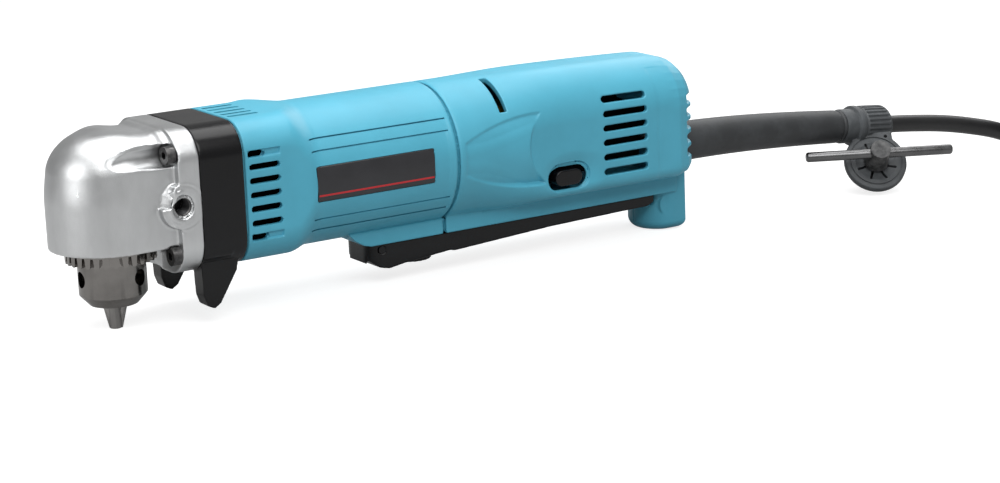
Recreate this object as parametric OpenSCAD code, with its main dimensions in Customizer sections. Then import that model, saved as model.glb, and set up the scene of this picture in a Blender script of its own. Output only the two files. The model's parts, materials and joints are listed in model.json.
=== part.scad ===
/* [Angle head] */
// Radius of the rounded nose about the spindle axis
nose_r = 22.5; // [22:0.5:25]
// Top of the head above the motor axis
head_top = 28.4; // [28:0.2:30]
// Rounding of the head's top edges
head_fillet = 11; // [8:0.5:13]
// Lower edge of the skirt below the motor axis
skirt_drop = 15.5; // [14:0.5:17]
// Wall of the head casting
head_wall = 3.4; // [2.8:0.2:3.6]
// Front face of the flange that bolts to the gear band
flange_front = 17; // [16:0.5:18.5]
// Joint face between head and gear band
head_rear = 25.5; // [24.5:0.5:27]
// Radius of the threaded side handle hole, M8 tapped
side_hole_r = 3.4; // [3:0.1:4]
// Depth of the side handle hole
side_hole_depth = 9; // [6:0.5:10]
// Place of the side handle hole behind the spindle
side_hole_x = 18; // [17:0.5:19]
// Radius of the raised boss round the side handle hole
side_boss_r = 8.2; // [7:0.2:9]

/* [Gear band and motor housing] */
// Half width of the rounded square section
square_half = 26.4; // [26:0.2:28]
// Top of the rounded square section
square_top = 29; // [28.5:0.25:30]
// Bottom of the rounded square section
square_drop = 26.6; // [26:0.2:28]
// Corner radius of the rounded square section
square_corner = 13; // [11:0.5:14]
// Wall of the gear band
band_wall = 3; // [2.4:0.2:3.2]
// Length of the gear band
band_len = 17.5; // [16:0.5:19]
// Thickness of the bearing plate inside the band
plate_t = 5; // [4.5:0.5:5.5]
// Radius of the round motor housing
barrel_r = 27.5; // [27:0.25:29]
// Wall of the motor housing
barrel_wall = 2.6; // [2:0.2:2.8]
// Length of the motor housing
barrel_len = 91; // [89:0.5:94]
// Length of the vented square front of the housing
vent_zone = 20; // [19:0.5:22]
// Length over which the square front blends to the round barrel
blend_len = 13; // [10:0.5:15]
// Number of vent slots in each side of the front
front_vents = 7; // [5:1:7]
// Width of a front vent slot
front_vent_w = 2.6; // [2:0.2:3]
// Pitch of the front vent slots
front_vent_pitch = 5.3; // [5:0.1:5.4]
// Length of a front vent slot
front_vent_len = 13; // [10:0.5:14]
// Length of the name plate
plate_len = 50.6; // [40:0.2:52]
// Height of the name plate
plate_h = 13.2; // [10:0.2:14]

/* [Handle] */
// Length of the handle behind the seam
handle_len = 117; // [115:0.5:120]
// Half width of the grip behind the side scoops
grip_half = 25; // [24.5:0.25:26]
// Top of the grip above the motor axis
grip_top = 27.6; // [27:0.2:29]
// Underside of the grip below the motor axis
grip_drop = 22.5; // [22:0.25:23]
// Radius of the grip's top corners
grip_corner = 20; // [16:0.5:21]
// Radius of the grip's lower edges
grip_edge = 5; // [4:0.5:7]
// Wall of the handle shells
grip_wall = 2.4; // [2:0.2:2.6]
// Rounding of the handle's rear end
tail_round = 11; // [8:0.5:12]
// Half width of the keel that the lever enters
keel_half = 14.4; // [14:0.2:15]
// Lower edge of the keel
keel_drop = 30.5; // [30:0.25:31]
// Half width of the rest foot
foot_half = 13; // [12:0.5:14]
// Length of the rest foot
foot_len = 18.5; // [16:0.5:20]
// Height of the motor axis above the table
axis_height = 47; // [46:0.5:49]
// Number of vent slots in each side of the grip
rear_vents = 6; // [4:1:6]
// Width of a rear vent slot
rear_vent_w = 3; // [2:0.2:3.4]
// Pitch of the rear vent slots
rear_vent_pitch = 5.85; // [5:0.05:5.9]
// Length of a rear vent slot
rear_vent_len = 21.6; // [18:0.2:22]

/* [Switch lever] */
// Half width of the lever
lever_half = 11.4; // [10.5:0.1:11.6]
// Radius of the lever's pivot pin
pivot_r = 1.5; // [1.2:0.1:2]
// Radius of the speed dial
dial_r = 8.4; // [7.5:0.1:9]
// Thickness of the speed dial
dial_t = 5; // [4:0.2:5.4]
// Length of the lock button
lock_len = 17; // [14:0.5:18]
// Height of the lock button
lock_h = 8.6; // [7:0.2:9]

/* [Gear train] */
// Teeth of the motor pinion
pinion_teeth = 8; // [8:1:8]
// Teeth of the spur gear
spur_teeth = 30; // [30:1:30]
// Module of the spur pair
spur_module = 0.7; // [0.66:0.01:0.72]
// Face width of the spur gear
spur_face = 5.5; // [4:0.5:6]
// Teeth of the bevel pinion
bevel_pinion_teeth = 12; // [12:1:12]
// Teeth of the bevel gear
bevel_gear_teeth = 24; // [24:1:24]
// Module of the bevel pair
bevel_module = 1; // [0.96:0.01:1.02]
// Face width of the bevel pair
bevel_face = 4.4; // [3.5:0.1:5]
// Radius of the intermediate shaft
mid_shaft_r = 3; // [2.5:0.1:3.2]

/* [Chuck] */
// Radius of the toothed sleeve
sleeve_r = 16.8; // [16:0.2:17.4]
// Lower face of the toothed sleeve below the motor axis
sleeve_drop = 21; // [20:0.5:22]
// Number of teeth on the sleeve
sleeve_teeth = 30; // [24:2:36]
// Radius of the chuck body
chuck_r = 12.6; // [12:0.2:13.2]
// Lower end of the chuck body below the motor axis
chuck_drop = 37.5; // [36:0.5:38.5]
// Radius of the key's pilot holes in the chuck
key_hole_r = 3.05; // [2.5:0.05:3.3]
// Depth of the pilot holes
key_hole_depth = 5; // [4:0.5:5.5]
// Radius of a chuck jaw
jaw_r = 2.1; // [1.8:0.1:2.2]
// Slope of the jaws to the spindle axis
jaw_slope = 16; // [15:0.5:17]
// Length of a chuck jaw
jaw_len = 27.5; // [25:0.5:28]

/* [Motor] */
// Radius of the motor shaft
shaft_r = 4; // [3.6:0.1:4.2]
// Radius of the armature core
core_r = 15.2; // [14:0.2:15.4]
// Length of the laminated cores
core_len = 34; // [28:1:36]
// Gap between armature and field
air_gap = 0.6; // [0.4:0.1:1]
// Radius of the commutator
commutator_r = 9.5; // [8.5:0.1:10]
// Radius of the cooling fan
fan_r = 20.5; // [18:0.5:21]
// Number of fan blades
fan_blades = 13; // [9:1:17]

/* [Cord and key] */
// Diameter of the mains cord
cord_d = 7.6; // [7:0.1:7.8]
// Radius of the cord guard at the handle
guard_r = 8.4; // [8:0.1:9]
// Radius of the cord guard at its free end
guard_tip_r = 7.1; // [6.5:0.1:7.5]
// Largest radius of the coil's turns, at the cord's middle
coil_r = 48; // [46:0.5:50]
// Step between the coil's turns and layers
coil_step = 9.6; // [9.6:0.1:10]
// Height step between the coil's layers
layer_step = 8.2; // [8.2:0.1:9]
// Turns in one layer of the coil
layer_turns = 1.125; // [1.125:0.125:1.125]
// Radius of the key holder's collar
collar_r = 8.8; // [8:0.1:9.4]
// Length of the key holder's collar
collar_len = 20; // [16:0.5:22]
// Width of the key holder's round end
holder_w = 27; // [24:0.5:30]
// Length of the chuck key's bar
key_bar_len = 64; // [50:1:70]

/* [Hidden] */
$fn = 64;

// Play of a running fit and of a loose fit
run_fit = 0.05;
loose = 0.3;
// Overlap that joins the solids of one piece
join = 0.2;

// Places along the motor axis, measured from the spindle axis
band_rear = head_rear + band_len;
seam_x = band_rear + barrel_len;
tail_x = seam_x + handle_len;
mid_x = (tail_x - nose_r) / 2;
floor_z = -axis_height;

function smooth(t) = let (u = min(1, max(0, t))) u * u * (3 - 2 * u);
function mix(a, b, t) = a + (b - a) * t;
function flat(lists) = [for (l = lists) each l];

// Moves a piece from the spindle's frame to the part's own frame on the table
module place() {
    translate([-mid_x, 0, axis_height]) children();
}

// Cylinder along the X axis
module rod_x(x, y, z, r, len) {
    translate([x, y, z]) rotate([0, 90, 0]) cylinder(r = r, h = len);
}

// Cylinder along the Y axis, from y upwards
module rod_y(x, y, z, r, len) {
    translate([x, y, z]) rotate([-90, 0, 0]) cylinder(r = r, h = len);
}

// Box given by its low corner and its size, centred on the middle plane
module slab(x, z, len, half, height) {
    translate([x, -half, z]) cube([len, 2 * half, height]);
}

// Extrudes a shape drawn in Y and Z along X
module along_x(x, len) {
    translate([x, 0, 0]) rotate([90, 0, 90]) linear_extrude(len) children();
}

// Extrudes a shape drawn in X and Z across the middle plane
module across(half) {
    rotate([90, 0, 0]) linear_extrude(2 * half, center = true) children();
}

// Rounded rectangle from the middle plane's bottom to its top
module section2d(half, top, drop, corner) {
    translate([-half, corner - drop]) square([2 * half, top + drop - 2 * corner]);
    translate([corner - half, -drop]) square([2 * (half - corner), top + drop]);
    for (y = [corner - half, half - corner], z = [corner - drop, top - corner])
        translate([y, z]) circle(corner);
}

// Slot with round ends, centred, long side along X
module slot2d(len, w) {
    square([len - w, w], center = true);
    for (s = [-1, 1])
        translate([s * (len - w) / 2, 0]) circle(w / 2);
}

// Points of a rounded rectangular ring at x
function ring(s, n = 8) = [
    for (c = [0:3], j = [0:n])
        let (a = 90 * c + 90 * j / n, r = c < 2 ? s[4] : s[5],
             cy = (c == 0 || c == 3 ? 1 : -1) * (s[1] - r),
             cz = c < 2 ? s[2] - r : r - s[3])
        [s[0], cy + r * cos(a), cz + r * sin(a)]
];

// Points of the half ring on the negative Y side, from top to bottom
function half_ring(s, n = 8) = concat(
    [[s[0], 0, s[2]]],
    [for (c = [1:2], j = [0:n])
        let (a = 90 * c + 90 * j / n, r = c == 1 ? s[4] : s[5])
        [s[0], r - s[1] + r * cos(a), (c == 1 ? s[2] - r : r - s[3]) + r * sin(a)]],
    [[s[0], 0, -s[3]]]
);

// A section drawn in by a wall, kept at its own x
function inset(s, t) = [s[0], s[1] - t, s[2] - t, s[3] - t, max(1, s[4] - t), max(1, s[5] - t)];

function quad(a, b, c, d) = [[a, b, c], [a, c, d]];

// Open tube between an outer and an inner list of closed rings
module tube_loft(outer, inner) {
    m = len(outer);
    n = len(outer[0]);
    k = m * n;
    faces = flat([
        for (j = [0:n - 1])
            let (e = (j + 1) % n, o = (m - 1) * n)
            concat(
                flat([for (i = [0:m - 2]) let (p = i * n, q = (i + 1) * n) concat(
                    quad(p + j, q + j, q + e, p + e),
                    quad(k + p + j, k + p + e, k + q + e, k + q + j))]),
                quad(j, e, k + e, k + j),
                quad(o + j, k + o + j, k + o + e, o + e))
    ]);
    polyhedron(points = concat(flat(outer), flat(inner)), faces = faces);
}

// Half of a closed-ended shell between outer and inner half rings
module half_cup(outer, inner) {
    m = len(outer);
    n = len(outer[0]);
    k = m * n;
    o = (m - 1) * n;
    t = n - 1;
    sides = flat([
        for (i = [0:m - 2], j = [0:n - 2])
            let (p = i * n + j, q = p + n)
            concat(quad(p, q, q + 1, p + 1), quad(k + p, k + p + 1, k + q + 1, k + q))
    ]);
    front = flat([for (j = [0:n - 2]) quad(j, j + 1, k + j + 1, k + j)]);
    split = flat([
        for (i = [0:m - 2])
            let (p = i * n, q = p + n)
            concat(quad(p, k + p, k + q, q), quad(k + p + t, p + t, q + t, k + q + t))
    ]);
    ends = concat(
        [[for (j = [t:-1:0]) o + j]],
        [[for (j = [0:t]) k + o + j]],
        quad(k + o, k + o + t, o + t, o));
    polyhedron(points = concat(flat(outer), flat(inner)), faces = concat(sides, front, split, ends));
}

// Closed tube of the given radii along a list of points
module sweep(path, radii, sides) {
    m = len(path);
    function unit(v) = v / norm(v);
    dirs = [for (i = [0:m - 1]) unit(path[min(i + 1, m - 1)] - path[max(i - 1, 0)])];
    rings = [
        for (i = [0:m - 1])
            let (d = dirs[i], u = unit(cross([0, 0, 1], d)), v = cross(d, u))
            [for (j = [0:sides - 1]) let (a = 360 * j / sides)
                path[i] + radii[i] * (cos(a) * u + sin(a) * v)]
    ];
    faces = flat([
        for (i = [0:m - 2], j = [0:sides - 1])
            let (p = i * sides + j, q = i * sides + (j + 1) % sides)
            quad(p, p + sides, q + sides, q)
    ]);
    polyhedron(points = flat(rings), faces = concat(faces,
        [[for (j = [0:sides - 1]) j]],
        [[for (j = [sides - 1:-1:0]) (m - 1) * sides + j]]));
}

// Spur gear outline with straight flanks and free backlash
module gear2d(teeth, m, addendum, dedendum) {
    pr = teeth * m / 2;
    root_w = 0.95 * m;
    tip_w = 0.32 * m;
    polygon([
        for (i = [0:teeth - 1], k = [[-root_w, -dedendum], [-tip_w, addendum], [tip_w, addendum],
            [root_w, -dedendum]])
            let (r = pr + k[1] * m, a = 360 * i / teeth + k[0] / 2 / pr * 180 / PI * 1.25)
            [r * cos(a), r * sin(a)]
    ]);
}

// Bevel gear with its cone's tip at the origin and its axis down
module bevel(teeth, mate, back, hub, bore) {
    pr = teeth * bevel_module / 2;
    depth = mate * bevel_module / 2;
    cone = norm([pr, depth]);
    sn = pr / cone;
    cs = depth / cone;
    toe = cone - bevel_face;
    root = -1.1 * bevel_module;
    tip = 0.85 * bevel_module;
    root_w = 0.72 * bevel_module;
    tip_w = 0.28 * bevel_module;
    function at(d, h, s) = let (k = d / cone)
        [d * sn + h * k * cs, s * k, h * k * sn - d * cs];
    function rim(d, h) = let (p = at(d, h, 0)) [p[0], p[2]];
    difference() {
        union() {
            rotate_extrude() polygon([
                [0, -depth - back], [hub, -depth - back], rim(cone, root) - [0.6, 0.6], rim(cone, root * 0.9),
                rim(toe, root * 0.9), [0, rim(toe, root)[1]]
            ]);
            for (i = [0:teeth - 1])
                rotate([0, 0, 360 * i / teeth]) polyhedron(
                    points = [for (d = [cone, toe]) each [
                        at(d, root, -root_w), at(d, root, root_w), at(d, tip, tip_w), at(d, tip, -tip_w)]],
                    faces = [[3, 2, 1, 0], [4, 5, 6, 7], [0, 1, 5, 4], [3, 7, 6, 2], [0, 4, 7, 3], [1, 2, 6, 5]]);
        }
        translate([0, 0, -2 * depth - back]) cylinder(r = bore, h = 2 * depth + back);
    }
}

// Ring of a bearing about the Z axis, with a groove for its balls
module race(r_out, r_in, w, ball_path, ball) {
    difference() {
        cylinder(r = r_out, h = w);
        translate([0, 0, -w]) cylinder(r = r_in, h = 3 * w);
        translate([0, 0, w / 2]) rotate_extrude() translate([ball_path, 0]) circle(ball + 0.1);
    }
}

// Bearings: outer radius, bore radius, width, ball radius, number of balls
spindle_brg = [11, 5, 6, 1.7, 9];
mid_brg = [7.5, mid_shaft_r, 5, 1.3, 8];
front_brg = [11, shaft_r, 7, 2, 8];
rear_brg = [9.5, shaft_r - 0.5, 6, 1.7, 8];

// Heights and places of the gear train
gear_z = spur_module * (pinion_teeth + spur_teeth) / 2;
spindle_brg_z = -1;
head_floor = spindle_brg_z + spindle_brg[2];
recess_top = spindle_brg_z - 0.5;
web_x = 15;
mid_brg_x = web_x + 0.5;
plate_x = band_rear - plate_t - 1;
spur_x = plate_x - spur_face - 0.5;
front_brg_x = plate_x + plate_t;
bush_r = 4.5;
bush_len = 4;
top_bush_r = 5.5;
top_bush_len = 5;
spindle_top_r = 4;
bush_z = head_top - head_wall - top_bush_len;
recess_r = sleeve_r + 1.4;

// Head screws: distance from the middle plane and the two heights
screw_y = 21.8;
screw_zs = [19.6, -18.5];
screw_r = 2;
screw_head_r = 3.5;
screw_head_h = 3.4;
screw_len = 21;

// Half outline of the head, seen along the motor axis
module head2d(shrink, low) {
    half = nose_r - shrink;
    top = head_top - shrink;
    f = head_fillet - shrink;
    intersection() {
        union() {
            translate([0, low]) square([half, top - f - low]);
            translate([0, low]) square([half - f, top - low]);
            translate([half - f, top - f]) circle(f);
        }
        translate([0, low]) square([half, top - low]);
    }
}

module head_form(shrink, low, rear) {
    rotate_extrude() head2d(shrink, low);
    along_x(0, rear) {
        head2d(shrink, low);
        mirror([1, 0]) head2d(shrink, low);
    }
}

module square_section(shrink = 0) {
    section2d(square_half - shrink, square_top - shrink, square_drop - shrink, square_corner - shrink);
}

module angle_head() {
    groove_r = 4.6;
    groove_tilt = 8;
    groove_back = 17.6;
    boss_face = square_half + 0.4;
    color("#c3c5c6") difference() {
        union() {
            difference() {
                union() {
                    head_form(0, -skirt_drop, head_rear);
                    along_x(flange_front, head_rear - flange_front) square_section();
                    rod_y(side_hole_x, -boss_face, 0, side_boss_r, 2 * boss_face);
                }
                head_form(head_wall, head_floor, head_rear + 1);
                translate([0, 0, -2 * skirt_drop]) cylinder(r = recess_r, h = 2 * skirt_drop + recess_top);
            }
            translate([0, 0, bush_z - 0.5]) cylinder(r = top_bush_r + 2, h = top_bush_len + 1);
            for (s = [-1, 1])
                translate([-2, s * groove_back - 2.6, 14]) cube([flange_front + 2.5, 5.2, 9.5]);
            translate([web_x, -nose_r + 1, head_floor - join])
                cube([mid_brg[2] + 1, 2 * nose_r - 2, head_top - head_wall - head_floor - 3]);
        }
        translate([0, 0, spindle_brg_z]) cylinder(r = spindle_brg[0], h = spindle_brg[2] + 1);
        translate([0, 0, recess_top - 1]) cylinder(r = spindle_brg[0] - 1.5, h = 3);
        translate([0, 0, bush_z]) cylinder(r = top_bush_r, h = top_bush_len);
        translate([0, 0, bush_z - 1]) cylinder(r = spindle_top_r + 0.5, h = 2);
        rod_x(mid_brg_x, 0, gear_z, mid_brg[0], mid_brg[2] + 1);
        rod_x(web_x - 1, 0, gear_z, mid_brg[0] - 1, 3);
        translate([head_rear, -2 * square_half, -2 * square_half])
            cube([band_len, 4 * square_half, 4 * square_half]);
        for (s = [-1, 1]) {
            for (z = screw_zs) {
                rod_x(flange_front - 1, s * screw_y, z, screw_r + 0.1, head_rear - flange_front + 2);
                rod_x(flange_front - screw_head_h - loose, s * screw_y, z, screw_head_r + loose,
                    screw_head_h + loose);
            }
            translate([flange_front, s * screw_y, screw_zs[0]]) rotate([0, -90, -s * groove_tilt])
                cylinder(r = groove_r, h = 28);
            translate([side_hole_x, s * boss_face, 0]) rotate([s * 90, 0, 0])
                translate([0, 0, -1]) cylinder(r = side_hole_r, h = side_hole_depth + 1);
        }
    }
}

module head_screws() {
    socket_r = 1.7;
    color("#2b2b2d") for (s = [-1, 1], z = screw_zs) difference() {
        union() {
            rod_x(flange_front - screw_head_h, s * screw_y, z, screw_head_r, screw_head_h);
            rod_x(flange_front - join, s * screw_y, z, screw_r, screw_len);
        }
        translate([flange_front - screw_head_h - 1, s * screw_y, z]) rotate([0, 90, 0])
            cylinder(r = socket_r, h = 3, $fn = 6);
    }
}

module gear_band() {
    boss_r = 3.6;
    tab_y = 18;
    tab_half = 4;
    color("#1f2022") difference() {
        union() {
            difference() {
                along_x(head_rear, band_len) square_section();
                along_x(head_rear - 1, plate_x - head_rear + 1) square_section(band_wall);
                along_x(front_brg_x, band_len) square_section(band_wall);
            }
            rod_x(front_brg_x - join, 0, 0, front_brg[0] + 2, front_brg[2] + join);
            for (s = [-1, 1], z = screw_zs)
                rod_x(head_rear, s * screw_y, z, boss_r, plate_x - head_rear + join);
            for (s = [-1, 1])
                translate([head_rear, s * tab_y, 0]) across(tab_half) polygon([
                    [0.3, -square_drop + 9], [0.6, -square_drop - 9], [2, -square_drop - 13],
                    [4.6, -square_drop - 14.2], [7.2, -square_drop - 12.6], [14.5, -square_drop - 1],
                    [16.5, -square_drop + 9]]);
        }
        along_x(head_rear + band_wall, plate_x - head_rear - band_wall)
            section2d(square_half - 10, square_top - band_wall, square_drop - band_wall, square_corner - band_wall);
        rod_x(front_brg_x, 0, 0, front_brg[0], front_brg[2] + 1);
        rod_x(plate_x - 1, 0, 0, shaft_r + 1.5, plate_t + 2);
        rod_x(plate_x - 1, 0, gear_z, bush_r, bush_len + 1);
        for (s = [-1, 1], z = screw_zs)
            rod_x(head_rear - 1, s * screw_y, z, screw_r, screw_len + flange_front - head_rear + 1.5);
    }
}

// Corner radius of the round sections, which keep a narrow flat
round_corner = barrel_r - 0.5;

function barrel_section(x) = let (t = smooth((x - band_rear - vent_zone) / blend_len)) [
    x, mix(square_half, barrel_r, t), mix(square_top, barrel_r, t), mix(square_drop, barrel_r, t),
    mix(square_corner, round_corner, t), mix(square_corner, round_corner, t)];

vent_x = band_rear + 2;
plate_start = band_rear + vent_zone + 9.6;
plate_depth = 0.8;
pod_x = 94.5;
pivot_x = pod_x + 13;
pivot_z = -33.4;
lug_half = 6;
spider_x = seam_x - 8;
trough_half = lever_half + 0.6;
trough_top = -barrel_r - 0.5;
lever_top = -keel_drop - loose;

// Annular sector that the name plate fills, on the left side of the barrel
module plate_form(play, r_in, r_out) {
    intersection() {
        difference() {
            rod_x(plate_start - play, 0, 0, r_out, plate_len + 2 * play);
            rod_x(plate_start - 1, 0, 0, r_in, plate_len + 2);
        }
        translate([plate_start - play, -2 * barrel_r, -plate_h / 2 - play])
            cube([plate_len + 2 * play, 2 * barrel_r, plate_h + 2 * play]);
    }
}

module motor_housing() {
    stations = concat([band_rear], [for (k = [0:5]) band_rear + vent_zone + blend_len * k / 5], [seam_x]);
    mid = (front_vents - 1) / 2;
    color("#4fb0cc") difference() {
        union() {
            difference() {
                union() {
                    tube_loft([for (x = stations) ring(barrel_section(x))],
                        [for (x = stations) ring(inset(barrel_section(x), barrel_wall))]);
                    across(keel_half) polygon([
                        [pod_x - 3, -barrel_r + 3], [pod_x, -barrel_r], [pod_x + 3.5, -keel_drop + 0.8],
                        [pod_x + 7, -keel_drop], [seam_x, -keel_drop], [seam_x, -barrel_r + 3]]);
                }
                rod_x(pod_x - 4, 0, 0, barrel_r - barrel_wall - loose, seam_x - pod_x + 5);
                slab(pod_x + 7, -keel_drop - 1, seam_x - pod_x, trough_half, trough_top + keel_drop + 1);
            }
            slab(pivot_x - 4.5, pivot_z - 3, 9, lug_half, trough_top - pivot_z + 4);
            difference() {
                rod_x(spider_x, 0, 0, barrel_r - barrel_wall + join, 4);
                for (a = [45:90:315])
                    rotate([a, 0, 0]) rod_x(spider_x - 1, 0, 18, 5, 6);
            }
            rod_x(spider_x, 0, 0, rear_brg[0] + 2.4, rear_brg[2] + 1);
        }
        rod_x(spider_x + 0.6, 0, 0, rear_brg[0], rear_brg[2] + 2);
        rod_x(spider_x - 1, 0, 0, rear_brg[0] - 2.4, 4);
        rod_y(pivot_x, -lug_half - 1, pivot_z, pivot_r + 0.02, 2 * lug_half + 2);
        plate_form(0.15, barrel_r - plate_depth, barrel_r + 2);
        for (i = [0:front_vents - 1]) {
            part = i == 0 || i == front_vents - 1 ? 0.5 : 1;
            translate([vent_x + front_vent_len * part / 2, 0, (i - mid) * front_vent_pitch])
                across(barrel_r + 5) slot2d(front_vent_len * part, front_vent_w);
        }
        for (j = [-2:2])
            translate([vent_x + front_vent_len / 2, j * front_vent_pitch, barrel_r / 2])
                linear_extrude(barrel_r) slot2d(front_vent_len, front_vent_w * 0.8);
    }
}

module name_plate() {
    color("#3b3b40") plate_form(0, barrel_r - plate_depth + 0.05, barrel_r - 0.1);
}

// Handle shell sections
foot_x = tail_x - foot_len;
cord_z = -13.4;
lock_x = 185.8;
lock_z = -14.2;
lock_y = -grip_half - 0.4;
plunger_x = 165;
plunger_r = 2.5;
switch_half = 9;
rear_vent_x = 201.4;
clamp_x = 231;
clamp_len = 7;
clamp_y = 9.5;

// Handle screws: x, z, length of the boss, place of the head's seat
grip_screws = [[148, 16, 18.6, 13], [196, 16, 20.2, 13], [228, 13, 22.2, 13], [242, -36, 12, 6]];
grip_screw_r = 1.6;
grip_screw_head = 3;

function handle_section(x) = let (u = smooth((x - seam_x - 6) / 42)) [
    x, mix(barrel_r, grip_half, u), mix(barrel_r, grip_top, smooth((x - seam_x) / 60)),
    mix(barrel_r, grip_drop, u), mix(round_corner, grip_corner, u), mix(round_corner, grip_edge, u)];

// Section of the rounded rear end at an angle of its rounding
function tail_section(a, shrink) = let (s = inset(handle_section(tail_x - tail_round),
    shrink + (tail_round - shrink) * (1 - cos(a))))
    [tail_x - tail_round + (tail_round - shrink) * sin(a), s[1], s[2], s[3], s[4], s[5]];

// The half of the handle on the negative Y side; the other half is its mirror image
module handle_half() {
    stations = [for (d = [0, 6, 13, 20, 27, 34, 41, 48, 76]) seam_x + d];
    angles = [0, 30, 52, 72, 90];
    mid = (rear_vents - 1) / 2;
    difference() {
        union() {
            half_cup(
                concat([for (x = stations) half_ring(handle_section(x))],
                    [for (a = angles) half_ring(tail_section(a, 0))]),
                concat([for (x = stations) half_ring(inset(handle_section(x), grip_wall))],
                    [for (a = angles) half_ring(tail_section(a, grip_wall))]));
            translate([seam_x, -keel_half, -keel_drop])
                cube([foot_x - seam_x + foot_half, keel_half - trough_half, keel_drop - grip_drop + grip_wall]);
            intersection() {
                translate([0, 0, floor_z]) linear_extrude(axis_height + cord_z - 1) {
                    translate([foot_x + foot_half, 0]) circle(foot_half);
                    translate([foot_x + foot_half, -foot_half]) square([foot_len - foot_half, 2 * foot_half]);
                }
                translate([foot_x, -2 * foot_half, floor_z]) cube([foot_len, 2 * foot_half, axis_height]);
            }
            for (p = grip_screws)
                rod_y(p[0], -p[2], p[1], grip_screw_head + 1.2, p[2]);
            for (x = [152, 178])
                translate([x, -grip_half + 1, -10]) cube([3, grip_half - 1 - switch_half - 0.1, 4]);
            translate([clamp_x, -clamp_y - 4, -grip_drop + grip_wall - join])
                cube([clamp_len, 7, grip_drop - grip_wall + join + cord_z + cord_d / 2]);
        }
        rod_x(foot_x - 8, 0, cord_z, cord_d / 2 + 1.2, foot_len + 20);
        rod_x(foot_x + 9, 0, cord_z, guard_r + 2.4, foot_len - 9 - grip_wall);
        rod_x(foot_x, 0, cord_z, guard_r + 0.15, foot_len + 5);
        translate([plunger_x, 0, -keel_drop - 1]) cylinder(r = plunger_r + 0.5, h = keel_drop);
        translate([clamp_x + clamp_len / 2, -clamp_y, -grip_drop + 1]) cylinder(r = grip_screw_r, h = grip_drop);
        for (i = [0:rear_vents - 1])
            translate([rear_vent_x + rear_vent_len / 2, -grip_half - 5, (i - mid) * rear_vent_pitch])
                rotate([-90, 0, 0]) linear_extrude(12) slot2d(rear_vent_len, rear_vent_w);
        for (i = [0:4])
            translate([tail_x - 5, -grip_half - 1, 8.4 - 5.6 * i]) cube([6, 9.5, 2.8]);
        translate([foot_x - 20, -trough_half, lever_end_low - loose])
            cube([24, trough_half + 1, loose - grip_drop - lever_end_low]);
    }
}

module lock_form(play, y, depth) {
    translate([lock_x, y, lock_z]) rotate([-90, 0, 0]) linear_extrude(depth)
        slot2d(lock_len + 2 * play, lock_h + 2 * play);
}

module handle_left() {
    slot_x = seam_x + 22;
    color("#4fb0cc") difference() {
        handle_half();
        lock_form(loose, lock_y - 3, 18);
        lock_form(1.4, lock_y - 3, 4.2);
        for (p = grip_screws)
            rod_y(p[0], 1 - p[2] * 0.7, p[1], grip_screw_r, p[2]);
        brush_slot(slot_x);
    }
}

// Arc slot in the shoulder of the handle, over the brush gear
module brush_slot(x) {
    width = 2.2;
    ends = [17, 36, 56];
    intersection() {
        difference() {
            rod_x(x, 0, 0, barrel_r + 3, width);
            rod_x(x - 1, 0, 0, barrel_r - 4, width + 2);
        }
        along_x(x - 1, width + 2)
            polygon(concat([[0, 0]], [for (a = ends) 2 * barrel_r * [-sin(a), cos(a)]]));
    }
}

module handle_right() {
    color("#4fb0cc") difference() {
        mirror([0, 1, 0]) handle_half();
        for (p = grip_screws) {
            rod_y(p[0], -1, p[1], grip_screw_r + 0.2, p[2] + 2);
            rod_y(p[0], p[3], p[1], grip_screw_head + 0.2, 30);
        }
    }
}

module handle_screws() {
    color("#2b2b2d") {
        for (p = grip_screws) {
            rod_y(p[0], 1.5 - p[2] * 0.7, p[1], grip_screw_r, p[3] + p[2] * 0.7);
            rod_y(p[0], p[3], p[1], grip_screw_head, 2);
        }
        for (s = [-1, 1])
            translate([clamp_x + clamp_len / 2, s * clamp_y, 0]) {
                translate([0, 0, cord_z + cord_d / 2 - 6]) cylinder(r = grip_screw_r, h = 9);
                translate([0, 0, cord_z + cord_d / 2 + 3]) cylinder(r = grip_screw_head, h = 2);
            }
    }
}

// Switch lever: outline seen from the side
dial_x = 126.5;
dial_z = -41.6;
lever_end = 236;
lever_end_low = -35.4;

module switch_lever() {
    pocket_top = dial_z + dial_t + loose;
    color("#1f2022") difference() {
        across(lever_half) polygon([
            [pivot_x - 5, lever_top], [pivot_x - 5.4, -34], [pivot_x - 4, -38], [pivot_x - 1, -40.4],
            [pivot_x + 3, -41.2], [117, -40.2], [138, -38.4], [140, -38.9], [186, -36.4], [lever_end - 3, lever_end_low], [lever_end, lever_end_low + 1.4],
            [lever_end, lever_top]]);
        slab(pivot_x - 4.5 - loose, pivot_z - 3.6, 9 + 2 * loose, lug_half + loose, 12);
        rod_y(pivot_x, -lever_half - 1, pivot_z, pivot_r + run_fit, 2 * lever_half + 2);
        translate([dial_x, 0, dial_z - 2]) cylinder(r = dial_r + loose, h = pocket_top - dial_z + 2);
        translate([dial_x, 0, pocket_top - 1]) cylinder(r = pivot_r + run_fit, h = 4);
    }
}

module lever_pin() {
    color("#9a9ca0") rod_y(pivot_x, -lever_half + 0.4, pivot_z, pivot_r, 2 * lever_half - 0.8);
}

module speed_dial() {
    grips = 20;
    grip_d = 0.5;
    color("#17181a") translate([dial_x, 0, dial_z]) {
        linear_extrude(dial_t) polygon([
            for (i = [0:2 * grips - 1])
                let (r = dial_r - (i % 2) * grip_d, a = 180 * i / grips)
                [r * cos(a), r * sin(a)]]);
        cylinder(r = pivot_r, h = dial_t + 2.6);
    }
}

module lock_button() {
    stem_r = 2.4;
    color("#1b1c1e") {
        lock_form(0, lock_y, 6);
        rod_y(lock_x, lock_y + 5, lock_z, stem_r, 7);
    }
}

// Spindle and its bearings
spindle_thread_r = 4.7;
shoulder_r = 6.5;
chuck_top = -8.3;
thread_end = -20;

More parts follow.
